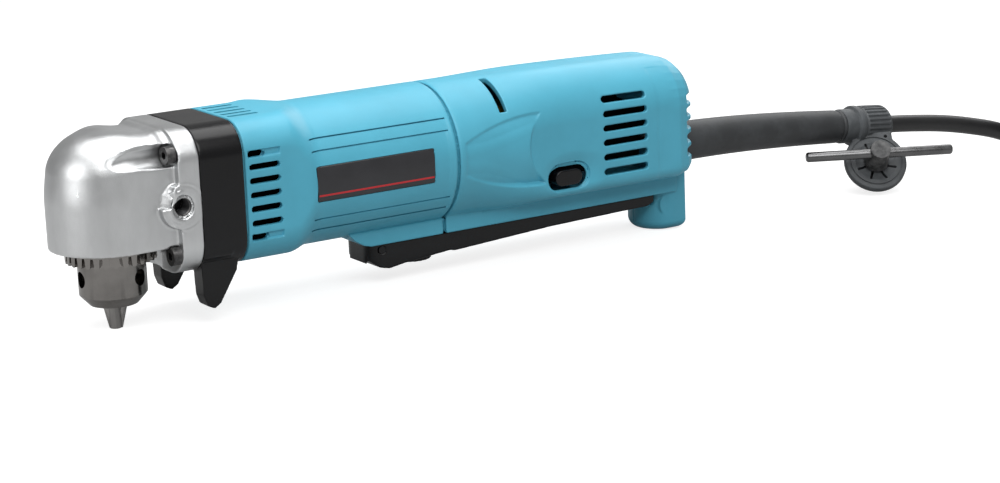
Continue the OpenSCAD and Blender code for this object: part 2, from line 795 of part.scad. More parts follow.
function ball_path(b) = (b[0] + b[1]) / 2;
function inner_r(b) = ball_path(b) - 0.6 * b[3];
function outer_r(b) = ball_path(b) + 0.6 * b[3];

module outer_race(b) {
    color("#b9bcc0") race(b[0], outer_r(b), b[2], ball_path(b), b[3]);
}

module inner_race(b) {
    color("#b9bcc0") race(inner_r(b), b[1], b[2], ball_path(b), b[3]);
}

module ball_set(b) {
    for (i = [0:b[4] - 1])
        rotate([0, 0, 360 * i / b[4]]) translate([ball_path(b), 0, b[2] / 2]) sphere(r = b[3], $fn = 24);
}

module on_spindle() {
    translate([0, 0, spindle_brg_z]) children();
}

module on_mid() {
    translate([mid_brg_x, 0, gear_z]) rotate([0, 90, 0]) children();
}

module on_front() {
    translate([front_brg_x, 0, 0]) rotate([0, 90, 0]) children();
}

module on_rear() {
    translate([spider_x + 0.6, 0, 0]) rotate([0, 90, 0]) children();
}

module bearing_balls() {
    color("#d6d8da") {
        on_spindle() ball_set(spindle_brg);
        on_mid() ball_set(mid_brg);
        on_front() ball_set(front_brg);
        on_rear() ball_set(rear_brg);
    }
}

module spindle() {
    gear_top = gear_z - bevel_gear_teeth * bevel_module / 6;
    color("#a4a7ab") {
        translate([0, 0, thread_end]) cylinder(r = spindle_thread_r, h = chuck_top - thread_end);
        translate([0, 0, chuck_top]) cylinder(r = shoulder_r, h = spindle_brg_z - chuck_top);
        translate([0, 0, spindle_brg_z]) cylinder(r = spindle_brg[1], h = gear_top - spindle_brg_z);
        translate([0, 0, gear_top]) cylinder(r = spindle_top_r, h = bush_z + top_bush_len - 0.3 - gear_top);
    }
}

module spindle_bush() {
    color("#b8894a") translate([0, 0, bush_z]) difference() {
        cylinder(r = top_bush_r, h = top_bush_len);
        translate([0, 0, -1]) cylinder(r = spindle_top_r + run_fit, h = top_bush_len + 2);
    }
}

module bevel_gear() {
    depth = bevel_pinion_teeth * bevel_module / 2;
    color("#8d8f93") translate([0, 0, gear_z])
        bevel(bevel_gear_teeth, bevel_pinion_teeth, gear_z - depth - head_floor, 6.6, spindle_brg[1]);
}

module bevel_pinion() {
    depth = bevel_gear_teeth * bevel_module / 2;
    color("#8d8f93") translate([0, 0, gear_z]) rotate([0, -90, 0])
        rotate([0, 0, 180 / bevel_pinion_teeth])
            bevel(bevel_pinion_teeth, bevel_gear_teeth, mid_brg_x - depth, 4.2, mid_shaft_r);
}

module intermediate_shaft() {
    start = bevel_gear_teeth * bevel_module * 0.375;
    color("#a4a7ab") rod_x(start, 0, gear_z, mid_shaft_r, plate_x + bush_len - 0.3 - start);
}

module spur_gear() {
    color("#8d8f93") translate([0, 0, gear_z]) difference() {
        along_x(spur_x, spur_face) gear2d(spur_teeth, spur_module, 0.75, 1.1);
        rod_x(spur_x - 1, 0, 0, mid_shaft_r, spur_face + 2);
    }
}

module intermediate_bush() {
    color("#b8894a") difference() {
        rod_x(plate_x, 0, gear_z, bush_r, bush_len);
        rod_x(plate_x - 1, 0, gear_z, mid_shaft_r + run_fit, bush_len + 2);
    }
}

// Chuck
jaw_tip_r = 0.4;
jaw_gap = 0.15;
nut_r = 13.9;
nut_h = 4;
nut_play = 0.35;
sleeve_h = 11;
shank_r = 9.9;

// Radius that the outside of a jaw reaches at a height
function jaw_out(z) = jaw_tip_r + (z - floor_z) * tan(jaw_slope) + jaw_r / cos(jaw_slope);

module jaw_rod(r, low, len) {
    translate([jaw_tip_r, 0, floor_z]) rotate([0, jaw_slope, 0])
        translate([0, 0, low]) cylinder(r = r, h = len);
}

module chuck_body() {
    key_z = -27;
    bevel_h = 4;
    color("#a9abad") difference() {
        union() {
            rotate_extrude() polygon([
                [0, -chuck_drop], [chuck_r - bevel_h + 0.4, -chuck_drop], [chuck_r - 1, -chuck_drop + bevel_h * 0.7],
                [chuck_r, -chuck_drop + bevel_h], [chuck_r, -sleeve_drop - loose],
                [0, -sleeve_drop - loose]]);
            translate([0, 0, -sleeve_drop - loose - join])
                cylinder(r = shank_r, h = chuck_top + sleeve_drop + loose + join);
        }
        translate([0, 0, -chuck_drop - 1]) cylinder(r = 5.2, h = chuck_drop + thread_end + 0.5);
        translate([0, 0, thread_end - 1]) cylinder(r = spindle_thread_r, h = 20);
        for (a = [0, 120, 240]) {
            rotate([0, 0, a]) jaw_rod(jaw_r + run_fit, 0, 60);
            rotate([0, 0, a + 60]) translate([chuck_r - key_hole_depth, 0, key_z]) rotate([0, 90, 0])
                cylinder(r = key_hole_r, h = key_hole_depth + 2);
        }
    }
}

module chuck_sleeve() {
    notch = 1.6;
    notch_low = 0.3;
    color("#9d9fa2") difference() {
        translate([0, 0, -sleeve_drop]) cylinder(r = sleeve_r, h = sleeve_h);
        translate([0, 0, -sleeve_drop - 1]) cylinder(r = nut_r, h = sleeve_h + 2);
        for (i = [0:sleeve_teeth - 1])
            rotate([0, 0, 360 * (i + 0.5) / sleeve_teeth])
                translate([sleeve_r - 2.4, 0, -sleeve_drop - notch_low])
                    rotate([0, 90, 0]) cylinder(r = notch, h = 4, $fn = 4);
    }
}

module chuck_nut() {
    low = -sleeve_drop;
    color("#8a8c8f") rotate_extrude() polygon([
        [jaw_out(low) + nut_play, low], [nut_r, low], [nut_r, low + nut_h],
        [jaw_out(low + nut_h) + nut_play, low + nut_h]]);
}

module jaw(a) {
    color("#8f9194") rotate([0, 0, a]) intersection() {
        jaw_rod(jaw_r, -3, jaw_len + 3);
        translate([0, 0, floor_z]) linear_extrude(60)
            polygon([[jaw_gap, 0], [30, (30 - jaw_gap) * tan(60)], [30, (jaw_gap - 30) * tan(60)]]);
    }
}

// Motor
fan_x = front_brg_x + front_brg[2] + 1;
fan_len = 10;
core_x = fan_x + 19;
core_end = core_x + core_len;
wind_r = core_r - 2.2;
comm_x = core_end + 8;
comm_len = 12;

module armature_shaft() {
    neck_r = spur_module * 4.6;
    color("#a4a7ab") {
        along_x(spur_x - 0.5, plate_x - spur_x + 0.5) gear2d(pinion_teeth, spur_module, 0.75, 1.1);
        rod_x(plate_x - join, 0, 0, neck_r, plate_t + join);
        rod_x(front_brg_x, 0, 0, shaft_r, spider_x - front_brg_x);
        rod_x(spider_x - join, 0, 0, rear_brg[1], rear_brg[2] + 0.6 + join);
    }
}

module armature_core() {
    slots = 12;
    color("#6f7276") difference() {
        rod_x(core_x, 0, 0, core_r, core_len);
        rod_x(core_x - 1, 0, 0, shaft_r, core_len + 2);
        for (i = [0:slots - 1])
            rotate([360 * i / slots, 0, 0]) rod_x(core_x - 1, 0, core_r - 0.6, 1.3, core_len + 2);
    }
}

module winding_end(x, len) {
    color("#b5672e") difference() {
        rod_x(x, 0, 0, wind_r, len);
        rod_x(x - 1, 0, 0, shaft_r, len + 2);
    }
}

module armature_windings() {
    winding_end(core_x - 5.5, 5.5);
    winding_end(core_end, 6.5);
}

module commutator() {
    bars = 16;
    color("#c08048") difference() {
        rod_x(comm_x, 0, 0, commutator_r, comm_len);
        rod_x(comm_x - 1, 0, 0, shaft_r, comm_len + 2);
        for (i = [0:bars - 1])
            rotate([360 * i / bars, 0, 0]) translate([comm_x + 1.5, -0.25, commutator_r - 0.8]) cube([comm_len, 0.5, 2]);
    }
}

module cooling_fan() {
    hub_r = shaft_r + 3;
    disc_t = 1.6;
    color("#26282b") difference() {
        union() {
            rod_x(fan_x, 0, 0, hub_r, fan_len);
            rod_x(fan_x + fan_len - disc_t, 0, 0, fan_r, disc_t);
            for (i = [0:fan_blades - 1])
                rotate([360 * i / fan_blades, 0, 0]) translate([fan_x + 1, -0.6, hub_r - 0.5])
                    cube([fan_len - 1.5, 1.2, fan_r - hub_r]);
        }
        rod_x(fan_x - 1, 0, 0, shaft_r, fan_len + 2);
    }
}

field_path = core_r + air_gap + 3.2;
coil_angles = [50, 130, 230, 310];
leg_r = 2.4;

module field_core() {
    color("#75787c") difference() {
        rod_x(core_x, 0, 0, barrel_r - barrel_wall - 0.4, core_len);
        rod_x(core_x - 1, 0, 0, core_r + air_gap, core_len + 2);
        for (a = coil_angles)
            rotate([a - 90, 0, 0]) rod_x(core_x - 1, 0, field_path, leg_r + 0.1, core_len + 2);
    }
}

module field_coils() {
    over = 3;
    end_r = leg_r + 0.4;
    past = 12;
    color("#a85a28") {
        for (a = coil_angles)
            rotate([a - 90, 0, 0]) rod_x(core_x - over, 0, field_path, leg_r, core_len + 2 * over);
        for (x = [core_x - over, core_end + over], a = [50, 230])
            translate([x, 0, 0]) rotate([a - past, 0, 0]) rotate([90, 0, 90])
                rotate_extrude(angle = 80 + 2 * past) translate([field_path, 0]) circle(end_r);
    }
}

module fan_baffle() {
    color("#2b2d30") difference() {
        rod_x(fan_x + fan_len + 1, 0, 0, square_half - barrel_wall - loose, 2);
        rod_x(fan_x + fan_len, 0, 0, core_r + 1, 4);
    }
}

brush_x = comm_x + 2.5;
brush_len = 7;
brush_half = 4;
holder_out = barrel_r - barrel_wall - 1.4;
brush_end = 19;

module brush_holders() {
    color("#3a3026") for (s = [-1, 1]) difference() {
        translate([brush_x - 1.6, s < 0 ? -holder_out : commutator_r + 2, -brush_half - 2])
            cube([spider_x - brush_x + 1.6, holder_out - commutator_r - 2, 2 * brush_half + 4]);
        translate([brush_x - 0.1, s < 0 ? -holder_out + 0.8 : commutator_r + 1, -brush_half - 0.1])
            cube([brush_len + 0.2, holder_out - commutator_r - 1.8, 2 * brush_half + 0.2]);
    }
}

module carbon_brushes() {
    color("#303134") for (s = [-1, 1])
        translate([brush_x, s < 0 ? -brush_end : commutator_r + loose, -brush_half])
            cube([brush_len, brush_end - commutator_r - loose, 2 * brush_half]);
}

module brush_springs() {
    color("#b08d3e") for (s = [-1, 1]) difference() {
        rod_y(brush_x + brush_len / 2, s < 0 ? 0.8 - holder_out : brush_end, 0, 2.6, holder_out - 0.8 - brush_end);
        rod_y(brush_x + brush_len / 2, -barrel_r, 0, 1.8, 2 * barrel_r);
    }
}

// Switch and wiring
switch_x = 148;
switch_len = 40;
switch_low = -19.5;
switch_h = 23;

module switch_body() {
    color("#2a2b2e") difference() {
        slab(switch_x, switch_low, switch_len, switch_half, switch_h);
        translate([plunger_x, 0, switch_low - 1]) cylinder(r = plunger_r + run_fit, h = 15);
    }
}

module switch_plunger() {
    color("#8a2f2a") translate([plunger_x, 0, lever_top + loose])
        cylinder(r = plunger_r, h = switch_low + 8 - lever_top);
}

module capacitor() {
    color("#c9b23c") slab(switch_x + 6, switch_low + switch_h, 24, 7, 11);
}

module cord_clamp() {
    color("#2a2b2e") difference() {
        slab(clamp_x, cord_z + cord_d / 2, clamp_len, clamp_y + 3.5, 3);
        for (s = [-1, 1])
            translate([clamp_x + clamp_len / 2, s * clamp_y, -20]) cylinder(r = grip_screw_r + 0.1, h = 30);
    }
}

guard_flange_x = tail_x - grip_wall - 5;
lead_start = foot_x - 6;

module internal_leads() {
    wire = 1.1;
    color("#3a3c40") {
        rod_x(lead_start, 0, cord_z, cord_d / 2, guard_flange_x - lead_start);
        for (s = [-1, 1]) {
            sweep([[lead_start, 1.8 * s, cord_z], [lead_start - 8, 2.4 * s, cord_z + 1],
                [205, 4 * s, -11], [switch_x + switch_len, 5 * s, -9.5]], [wire, wire, wire, wire], 8);
            sweep([[switch_x, 6 * s, -2], [switch_x - 6, 9 * s, 4], [spider_x + 8, 12 * s, 11],
                [spider_x - 2, 12.7 * s, 12.7], [brush_x + 4, 14 * s, 7.4]], [wire, wire, wire, wire, wire], 8);
        }
    }
}

// Cord guard, mains cord, coil and plug
guard_start = [tail_x - grip_wall - 0.2, 0, cord_z];
guard_end = [344, 0, -19];
guard_rings = 14;

// Curve of the guard: level at the handle, sloping with the cord at its end
function guard_point(t) = let (a = guard_start, d = guard_end, b = a + [34, 0, 0], c = d - [34, 0, -3.4])
    pow(1 - t, 3) * a + 3 * t * pow(1 - t, 2) * b + 3 * t * t * (1 - t) * c + pow(t, 3) * d;

module cord_guard() {
    steps = [for (i = [0:guard_rings - 1]) i / (guard_rings - 1)];
    color("#2f3133") {
        rod_x(guard_flange_x, 0, cord_z, guard_r + 2, 4.9);
        sweep([for (t = steps) guard_point(t)], [for (t = steps) mix(guard_r, guard_tip_r, t)], 20);
    }
}

coil_at = [505, -10];
tie_t = 1.3;
coil_base = floor_z + tie_t + cord_d / 2;
lead_route = [
    guard_end, [351, 0, -19.7], [358, 0, -20.4], [365, 0, -21.1], [372, 0, -21.8], [380, 0, -22.6],
    [390, 0, -23.8], [400, 0, -25.2], [410, 0, -27], [420, 0, -29.2], [431.5, 0, -32.1], [442.7, 1.8, -35.8],
    [452.9, 7.1, -39.1], [460.9, 15.2, -41.1], [469.6, 24.8, -41.8], [480.1, 31.9, coil_base],
    [492.2, 36.5, coil_base], [coil_at[0], coil_at[1] + coil_r, coil_base]
];

module cord_lead() {
    color("#1c1d1f") sweep(lead_route, [for (p = lead_route) cord_d / 2], 10);
}

coil_inner = coil_r - coil_step * layer_turns;
reverse_turn = 0.5;
layers = 4;
coil_turns = layers * layer_turns + (layers - 1) * reverse_turn;
coil_top = coil_base + (layers - 1) * layer_step;
tail_turn = 0.25;
tail_r = 32;
tail_z = coil_top + layer_step;
plug_half_h = 8.8;
plug_x = coil_at[0] + coil_r - tail_r - cord_d;
plug_y = coil_at[1] - tail_r;
plug_z = coil_top + cord_d / 2 + loose + plug_half_h;

// Radius and height of the cord's middle after a number of turns from the coil's start
function coil_state(t) = let (
    span = layer_turns + reverse_turn,
    i = min(layers - 1, floor(t / span)),
    f = t - i * span,
    run = coil_step * min(f, layer_turns),
    q = max(0, t - coil_turns) / tail_turn)
    [i % 2 == 0 ? coil_r - run : coil_inner + run,
     coil_base + layer_step * (i + smooth(i < layers - 1 ? (f - layer_turns) / reverse_turn : q))];

function coil_point(t) = let (s = coil_state(t), a = 90 - 360 * t)
    [coil_at[0] + s[0] * cos(a), coil_at[1] + s[0] * sin(a), s[1]];

loop_rings = 24;
tail_rings = 6;
coil_route = concat(
    [for (k = [0:round((coil_turns + tail_turn) * loop_rings)]) coil_point(k / loop_rings)],
    [for (k = [1:tail_rings]) let (a = 90 * k / tail_rings)
        [coil_at[0] + coil_r - tail_r * (1 - cos(a)), coil_at[1] - tail_r * sin(a),
         mix(tail_z, plug_z, smooth(k / tail_rings))]],
    [[plug_x, plug_y, plug_z]]);

coil_gap = min([for (i = [0:len(coil_route) - 1], j = [i + 8:len(coil_route) - 1])
    norm(coil_route[i] - coil_route[j])]) - cord_d;
echo(coil_gap = coil_gap);

module cord_coil() {
    color("#1c1d1f") sweep(coil_route, [for (p = coil_route) cord_d / 2], 6);
}

module coil_tie() {
    width = 14;
    low = coil_inner - cord_d / 2 - 0.9;
    high = coil_r + cord_d / 2 + 1.2;
    tie_angle = 118;
    color("#232426") translate([coil_at[0], coil_at[1], 0]) rotate([0, 0, tie_angle]) difference() {
        translate([low - tie_t, -width / 2, floor_z])
            cube([high - low + 2 * tie_t, width, coil_top - floor_z + cord_d / 2 + tie_t + 0.1]);
        translate([low, -width, floor_z + tie_t - 0.05])
            cube([high - low, 2 * width, coil_top - floor_z - tie_t + cord_d / 2 + 0.15]);
    }
}

plug_len = 36;
plug_half_w = 17.5;
neck_len = 10;
pin_len = 19;
pin_r = 2.4;
pin_pitch = 19;

module plug_body() {
    color("#1c1d1f") {
        along_x(plug_x - neck_len - plug_len, plug_len) translate([plug_y, plug_z])
            section2d(plug_half_w, plug_half_h, plug_half_h, plug_half_h - 2);
        rod_x(plug_x - neck_len - join, plug_y, plug_z, 6.2, neck_len + join);
    }
}

module plug_pins() {
    color("#c8b46a") for (s = [-1, 1])
        rod_x(plug_x - neck_len - plug_len - pin_len, plug_y + s * pin_pitch / 2, plug_z, pin_r, pin_len);
}

// Key holder on the cord and the chuck key in it
collar_at = [349.5, 0, -19.55];
collar_slope = 5.71;
disc_at = [352, -14, -34];
disc_tilt = 51.7;
disc_yaw = -26.5;
disc_t = 3.4;
key_r = 4;
bar_r = 2.4;
bar_up = 9;
pilot_end = -17;
gear_low = -11;

module in_holder() {
    translate(disc_at) rotate([disc_tilt, 0, disc_yaw]) children();
}

module along_cord(x) {
    translate(collar_at) rotate([0, 90 + collar_slope, 0]) translate([0, 0, x]) children();
}

module key_holder() {
    slits = 8;
    color("#3a3d40") difference() {
        union() {
            along_cord(0) cylinder(r = collar_r, h = collar_len);
            in_holder() {
                translate([0, 0, -disc_t / 2]) cylinder(r = holder_w / 2, h = disc_t);
                translate([-9, 0, -disc_t / 2]) cube([18, 14, disc_t]);
            }
        }
        along_cord(-1) cylinder(r = cord_d / 2 + 0.1, h = collar_len + 2);
        in_holder() {
            translate([0, 0, -disc_t]) cylinder(r = key_r + 0.06, h = 2 * disc_t);
            for (i = [0:slits - 1])
                rotate([0, 0, 360 * (i + 0.5) / slits]) translate([key_r + 1, -0.7, -disc_t])
                    cube([5, 1.4, 2 * disc_t]);
        }
    }
}

module chuck_key() {
    teeth = 11;
    gear_r = 7.2;
    color("#4a4c4f") in_holder() difference() {
        union() {
            translate([0, 0, gear_low]) cylinder(r = key_r, h = bar_up + 4 - gear_low);
            translate([0, 0, gear_low]) cylinder(r1 = gear_r - 2, r2 = gear_r, h = 5);
            translate([0, 0, gear_low + 5]) cylinder(r = gear_r, h = 3);
            translate([0, 0, pilot_end]) cylinder(r = key_hole_r - 0.15, h = gear_low - pilot_end);
            translate([0, 0, disc_t / 2 + loose]) cylinder(r = key_r + 1.4, h = bar_up + 3.7 - disc_t / 2);
        }
        for (i = [0:teeth - 1])
            rotate([0, 0, 360 * i / teeth]) translate([gear_r - 1.5, 0, gear_low - 1])
                rotate([0, 14, 0]) cylinder(r = 1.1, h = 8, $fn = 4);
        translate([-20, 0, bar_up]) rotate([0, 90, 0]) cylinder(r = bar_r, h = 40);
    }
}

module key_bar() {
    color("#8c8f92") in_holder() translate([-key_bar_len / 2, 0, bar_up]) rotate([0, 90, 0])
        cylinder(r = bar_r, h = key_bar_len);
}

place() angle_head();
place() head_screws();
place() gear_band();
place() motor_housing();
place() name_plate();
place() handle_left();
place() handle_right();
place() handle_screws();
place() switch_lever();
place() lever_pin();
place() speed_dial();
place() lock_button();
place() spindle();
place() on_spindle() outer_race(spindle_brg);  // spindle_bearing_outer
place() on_spindle() inner_race(spindle_brg);  // spindle_bearing_inner
place() spindle_bush();
place() bevel_gear();
place() bevel_pinion();
place() intermediate_shaft();
place() spur_gear();
place() on_mid() outer_race(mid_brg);  // intermediate_bearing_outer
place() on_mid() inner_race(mid_brg);  // intermediate_bearing_inner
place() intermediate_bush();
place() chuck_body();
place() chuck_sleeve();
place() chuck_nut();
place() jaw(0);  // jaw_1
place() jaw(120);  // jaw_2
place() jaw(240);  // jaw_3
place() armature_shaft();
place() armature_core();
place() armature_windings();
place() commutator();
place() cooling_fan();
place() on_front() outer_race(front_brg);  // front_bearing_outer
place() on_front() inner_race(front_brg);  // front_bearing_inner
place() on_rear() outer_race(rear_brg);  // rear_bearing_outer
place() on_rear() inner_race(rear_brg);  // rear_bearing_inner
place() bearing_balls();
place() field_core();
place() field_coils();
place() fan_baffle();
place() brush_holders();
place() carbon_brushes();
place() brush_springs();
place() switch_body();
place() switch_plunger();
place() capacitor();
place() cord_clamp();
place() internal_leads();
place() cord_guard();
place() cord_lead();
place() cord_coil();
place() coil_tie();
place() plug_body();
place() plug_pins();
place() key_holder();
place() chuck_key();
place() key_bar();
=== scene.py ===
"""Corded right-angle drill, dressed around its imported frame."""
from __future__ import annotations

import json
import logging
import math
from contextlib import contextmanager
from dataclasses import dataclass, field
from enum import Enum
from typing import Any, Callable, Iterable, Iterator, Sequence

import bmesh
import bpy
from mathutils import Matrix, Vector

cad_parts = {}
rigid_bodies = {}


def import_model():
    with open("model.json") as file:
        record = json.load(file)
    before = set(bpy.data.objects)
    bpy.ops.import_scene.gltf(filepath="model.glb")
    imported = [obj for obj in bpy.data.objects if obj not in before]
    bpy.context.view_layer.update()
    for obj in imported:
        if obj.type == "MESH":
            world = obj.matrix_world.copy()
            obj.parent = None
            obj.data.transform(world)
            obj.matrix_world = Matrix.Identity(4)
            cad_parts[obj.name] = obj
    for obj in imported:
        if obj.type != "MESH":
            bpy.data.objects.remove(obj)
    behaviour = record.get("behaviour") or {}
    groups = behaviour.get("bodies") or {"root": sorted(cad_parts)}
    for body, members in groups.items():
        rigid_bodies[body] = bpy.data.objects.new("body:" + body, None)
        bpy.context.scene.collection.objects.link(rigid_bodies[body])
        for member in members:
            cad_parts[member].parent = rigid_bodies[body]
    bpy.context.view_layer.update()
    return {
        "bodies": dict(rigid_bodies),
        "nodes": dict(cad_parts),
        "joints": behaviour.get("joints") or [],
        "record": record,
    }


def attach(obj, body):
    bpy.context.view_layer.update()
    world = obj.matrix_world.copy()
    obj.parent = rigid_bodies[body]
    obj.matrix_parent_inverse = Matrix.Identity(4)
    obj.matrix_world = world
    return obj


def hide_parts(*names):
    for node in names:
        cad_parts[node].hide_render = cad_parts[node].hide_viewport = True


LOG = logging.getLogger("angle_drill")
MM = 0.001
MID_X = 114.25
AXIS_HEIGHT = 47.0

Pair = tuple[float, float]
Point = tuple[float, float, float]
Colour = tuple[float, float, float]
Piece = bpy.types.Object


def place(x: float, y: float, z: float) -> Vector:
    """Returns a point of the tool's own millimetre frame in the part's frame, in metres."""
    return Vector(((x - MID_X) * MM, y * MM, (z + AXIS_HEIGHT) * MM))


def placed(frame: Matrix, x: float, y: float, z: float) -> Vector:
    """Returns a point of a frame within the tool in the part's frame, in metres."""
    return place(*(frame @ Vector((x, y, z))))


def local(p: Vector) -> Vector:
    """Returns a point of the part's frame in the tool's own millimetres."""
    return Vector((p.x / MM + MID_X, p.y / MM, p.z / MM - AXIS_HEIGHT))


def smooth(t: float) -> float:
    """Returns the smooth step of t between 0 and 1."""
    u = min(1.0, max(0.0, t))
    return u * u * (3.0 - 2.0 * u)


def mix(a: float, b: float, t: float) -> float:
    """Returns the value between a and b at t."""
    return a + (b - a) * t


def circle(count: int) -> list[float]:
    """Returns the angles of points that are spaced evenly round a circle."""
    return [2 * math.pi * k / count for k in range(count)]


def linked(name: str, data: Any) -> Piece:
    """Makes an object and links it to the scene.

    Args:
        name: The object's name.
        data: Its mesh, curve, camera or light.

    Returns:
        The object.
    """
    made = bpy.data.objects.new(name, data)
    bpy.context.scene.collection.objects.link(made)
    return made


@contextmanager
def editing(mesh: bpy.types.Mesh) -> Iterator[bmesh.types.BMesh]:
    """Opens a mesh for editing and writes it back.

    Args:
        mesh: The mesh.

    Yields:
        Its editable form.
    """
    form = bmesh.new()
    form.from_mesh(mesh)
    yield form
    form.to_mesh(mesh)
    form.free()


class Value:
    """A shader socket that Python expressions can work with."""

    def __init__(self, graph: "Graph", socket: Any) -> None:
        """Keeps the graph and the socket.

        Args:
            graph: The material's node graph.
            socket: An output socket of one of its nodes.
        """
        self.graph = graph
        self.socket = socket

    def _math(self, operation: str, *terms: Any) -> "Value":
        """Adds a Math node.

        Args:
            operation: The Math node's operation.
            terms: Its inputs, as values or numbers.

        Returns:
            The node's output.
        """
        inputs = {k: t for k, t in enumerate(terms)}
        return self.graph.node("ShaderNodeMath", {"operation": operation}, inputs)

    def __add__(self, other: Any) -> "Value":
        """Adds."""
        return self._math("ADD", self, other)

    __radd__ = __add__

    def __sub__(self, other: Any) -> "Value":
        """Subtracts."""
        return self._math("SUBTRACT", self, other)

    def __rsub__(self, other: Any) -> "Value":
        """Subtracts this value from another."""
        return self._math("SUBTRACT", other, self)

    def __mul__(self, other: Any) -> "Value":
        """Multiplies."""
        return self._math("MULTIPLY", self, other)

    __rmul__ = __mul__

    def __gt__(self, other: Any) -> "Value":
        """Gives 1 where this value is greater."""
        return self._math("GREATER_THAN", self, other)

    def __lt__(self, other: Any) -> "Value":
        """Gives 1 where this value is less."""
        return self._math("LESS_THAN", self, other)

    def sin(self) -> "Value":
        """Gives the sine."""
        return self._math("SINE", self)

    def absolute(self) -> "Value":
        """Gives the absolute value."""
        return self._math("ABSOLUTE", self)

    def power(self, exponent: float) -> "Value":
        """Gives a power of the value."""
        return self._math("POWER", self, exponent)

    def angle_from(self, other: "Value") -> "Value":
        """Gives the angle whose sine side is this value and whose cosine side is the other."""
        return self._math("ARCTAN2", self, other)

    def within(self, low: float, high: float) -> "Value":
        """Maps the span from low to high onto 0 to 1 and holds the ends.

        Args:
            low: The value that gives 0.
            high: The value that gives 1.

        Returns:
            The mapped value.
        """
        return self.graph.node(
            "ShaderNodeMapRange", {"clamp": True}, {"Value": self, "From Min": low, "From Max": high})


class Graph:
    """A node tree that is built by expressions."""

    def __init__(self, tree: bpy.types.NodeTree) -> None:
        """Empties the tree.

        Args:
            tree: The node tree of a material or a world.
        """
        self.tree = tree
        tree.nodes.clear()

    def make(self, kind: str, settings: dict[str, Any] | None = None,
             inputs: dict[Any, Any] | None = None) -> bpy.types.Node:
        """Adds a node.

        Args:
            kind: The node's type.
            settings: Its settings, set first.
            inputs: The values or links of its sockets, by name or number.

        Returns:
            The node.
        """
        made = self.tree.nodes.new(kind)
        for key, value in (settings or {}).items():
            setattr(made, key, value)
        for key, value in (inputs or {}).items():
            self.feed(made.inputs[key], value)
        return made

    def node(self, kind: str, settings: dict[str, Any] | None = None, inputs: dict[Any, Any] | None = None,
             out: int | str = 0) -> Value:
        """Adds a node and gives one of its outputs.

        Args:
            kind: The node's type.
            settings: Its settings.
            inputs: The values or links of its sockets.
            out: The output to give, by name or number.

        Returns:
            The chosen output.
        """
        return Value(self, self.make(kind, settings, inputs).outputs[out])

    def feed(self, socket: Any, value: Any) -> None:
        """Links a value to a socket, or sets a constant on it.

        Args:
            socket: The input socket.
            value: A Value, a number, a colour or a vector.
        """
        if isinstance(value, Value):
            self.tree.links.new(value.socket, socket)
        elif isinstance(value, (tuple, list)) and len(value) == 3 and len(socket.default_value) == 4:
            socket.default_value = (*value, 1.0)
        else:
            socket.default_value = value


class Surface(Graph):
    """The node graph of one material, with its shader."""

    def __init__(self, name: str) -> None:
        """Makes a material with a principled shader.

        Args:
            name: The material's name.
        """
        self.material = bpy.data.materials.new(name)
        self.material.use_nodes = True
        super().__init__(self.material.node_tree)
        self.shader = self.make("ShaderNodeBsdfPrincipled")
        self.lit = Value(self, self.shader.outputs[0])
        self.output = self.make("ShaderNodeOutputMaterial", inputs={0: self.lit})

    def set(self, **sockets: Any) -> None:
        """Sets or links the shader's sockets, with an underscore for each space in a name."""
        for name, value in sockets.items():
            self.feed(self.shader.inputs[name.replace("_", " ")], value)

    def object_axes(self) -> tuple[Value, Value, Value, Value]:
        """Gives the object coordinates and their three axes, in metres.

        Returns:
            The vector and its x, y and z.
        """
        vector = self.node("ShaderNodeTexCoord", out="Object")
        parts = [self.node("ShaderNodeSeparateXYZ", {}, {0: vector}, axis) for axis in "XYZ"]
        return vector, parts[0], parts[1], parts[2]

    def noise(self, vector: Value, scale: float, detail: float = 3.0, rough: float = 0.55) -> Value:
        """Gives fractal noise between 0 and 1.

        Args:
            vector: Where to read it.
            scale: Features to a metre.
            detail: Octaves.
            rough: How strong the finer octaves are.

        Returns:
            The noise.
        """
        return self.node("ShaderNodeTexNoise", {},
                         {"Vector": vector, "Scale": scale, "Detail": detail, "Roughness": rough})

    def stretched(self, vector: Value, scale: Point) -> Value:
        """Gives a vector scaled along its axes."""
        return self.node("ShaderNodeMapping", {}, {"Vector": vector, "Scale": scale})

    def blend(self, a: Any, b: Any, factor: Any) -> Value:
        """Mixes two colours.

        Args:
            a: The colour at 0.
            b: The colour at 1.
            factor: The mixing value.

        Returns:
            The mixed colour.
        """
        return self.node("ShaderNodeMix", {"data_type": "RGBA"}, {0: factor, 6: a, 7: b}, 2)

    def edge_wear(self, low: float = 0.52, high: float = 0.6) -> Value:
        """Gives 1 on worn outer edges, from the surface's pointiness."""
        bent = self.node("ShaderNodeNewGeometry", out="Pointiness")
        return bent.within(low, high)

    def bump(self, height: Value, depth: float, strength: float = 1.0) -> None:
        """Raises the surface by a height.

        Args:
            height: The height between 0 and 1.
            depth: The real depth in metres.
            strength: The bump's strength.
        """
        normal = self.node("ShaderNodeBump", {}, {"Height": height, "Distance": depth, "Strength": strength})
        self.feed(self.shader.inputs["Normal"], normal)


class Turning(Enum):
    """The axis that a turned piece's tool marks run round."""

    SPINDLE = "Z"
    MOTOR = "X"
    PLAIN = "none"


@dataclass(frozen=True)
class Finish:
    """A surface finish with its colour and gloss."""

    name: str
    colour: Colour
    roughness: float

    def build(self) -> bpy.types.Material:
        """Makes the finish's material.

        Returns:
            The material.
        """
        graph = Surface(self.name)
        self.dress(graph)
        return graph.material

    def dress(self, graph: Surface) -> None:
        """Sets up the shader.

        Args:
            graph: The material's graph.
        """
        raise NotImplementedError

    def shade(self, factor: float) -> Colour:
        """Returns the finish's colour made lighter or darker."""
        return tuple(min(1.0, c * factor) for c in self.colour)


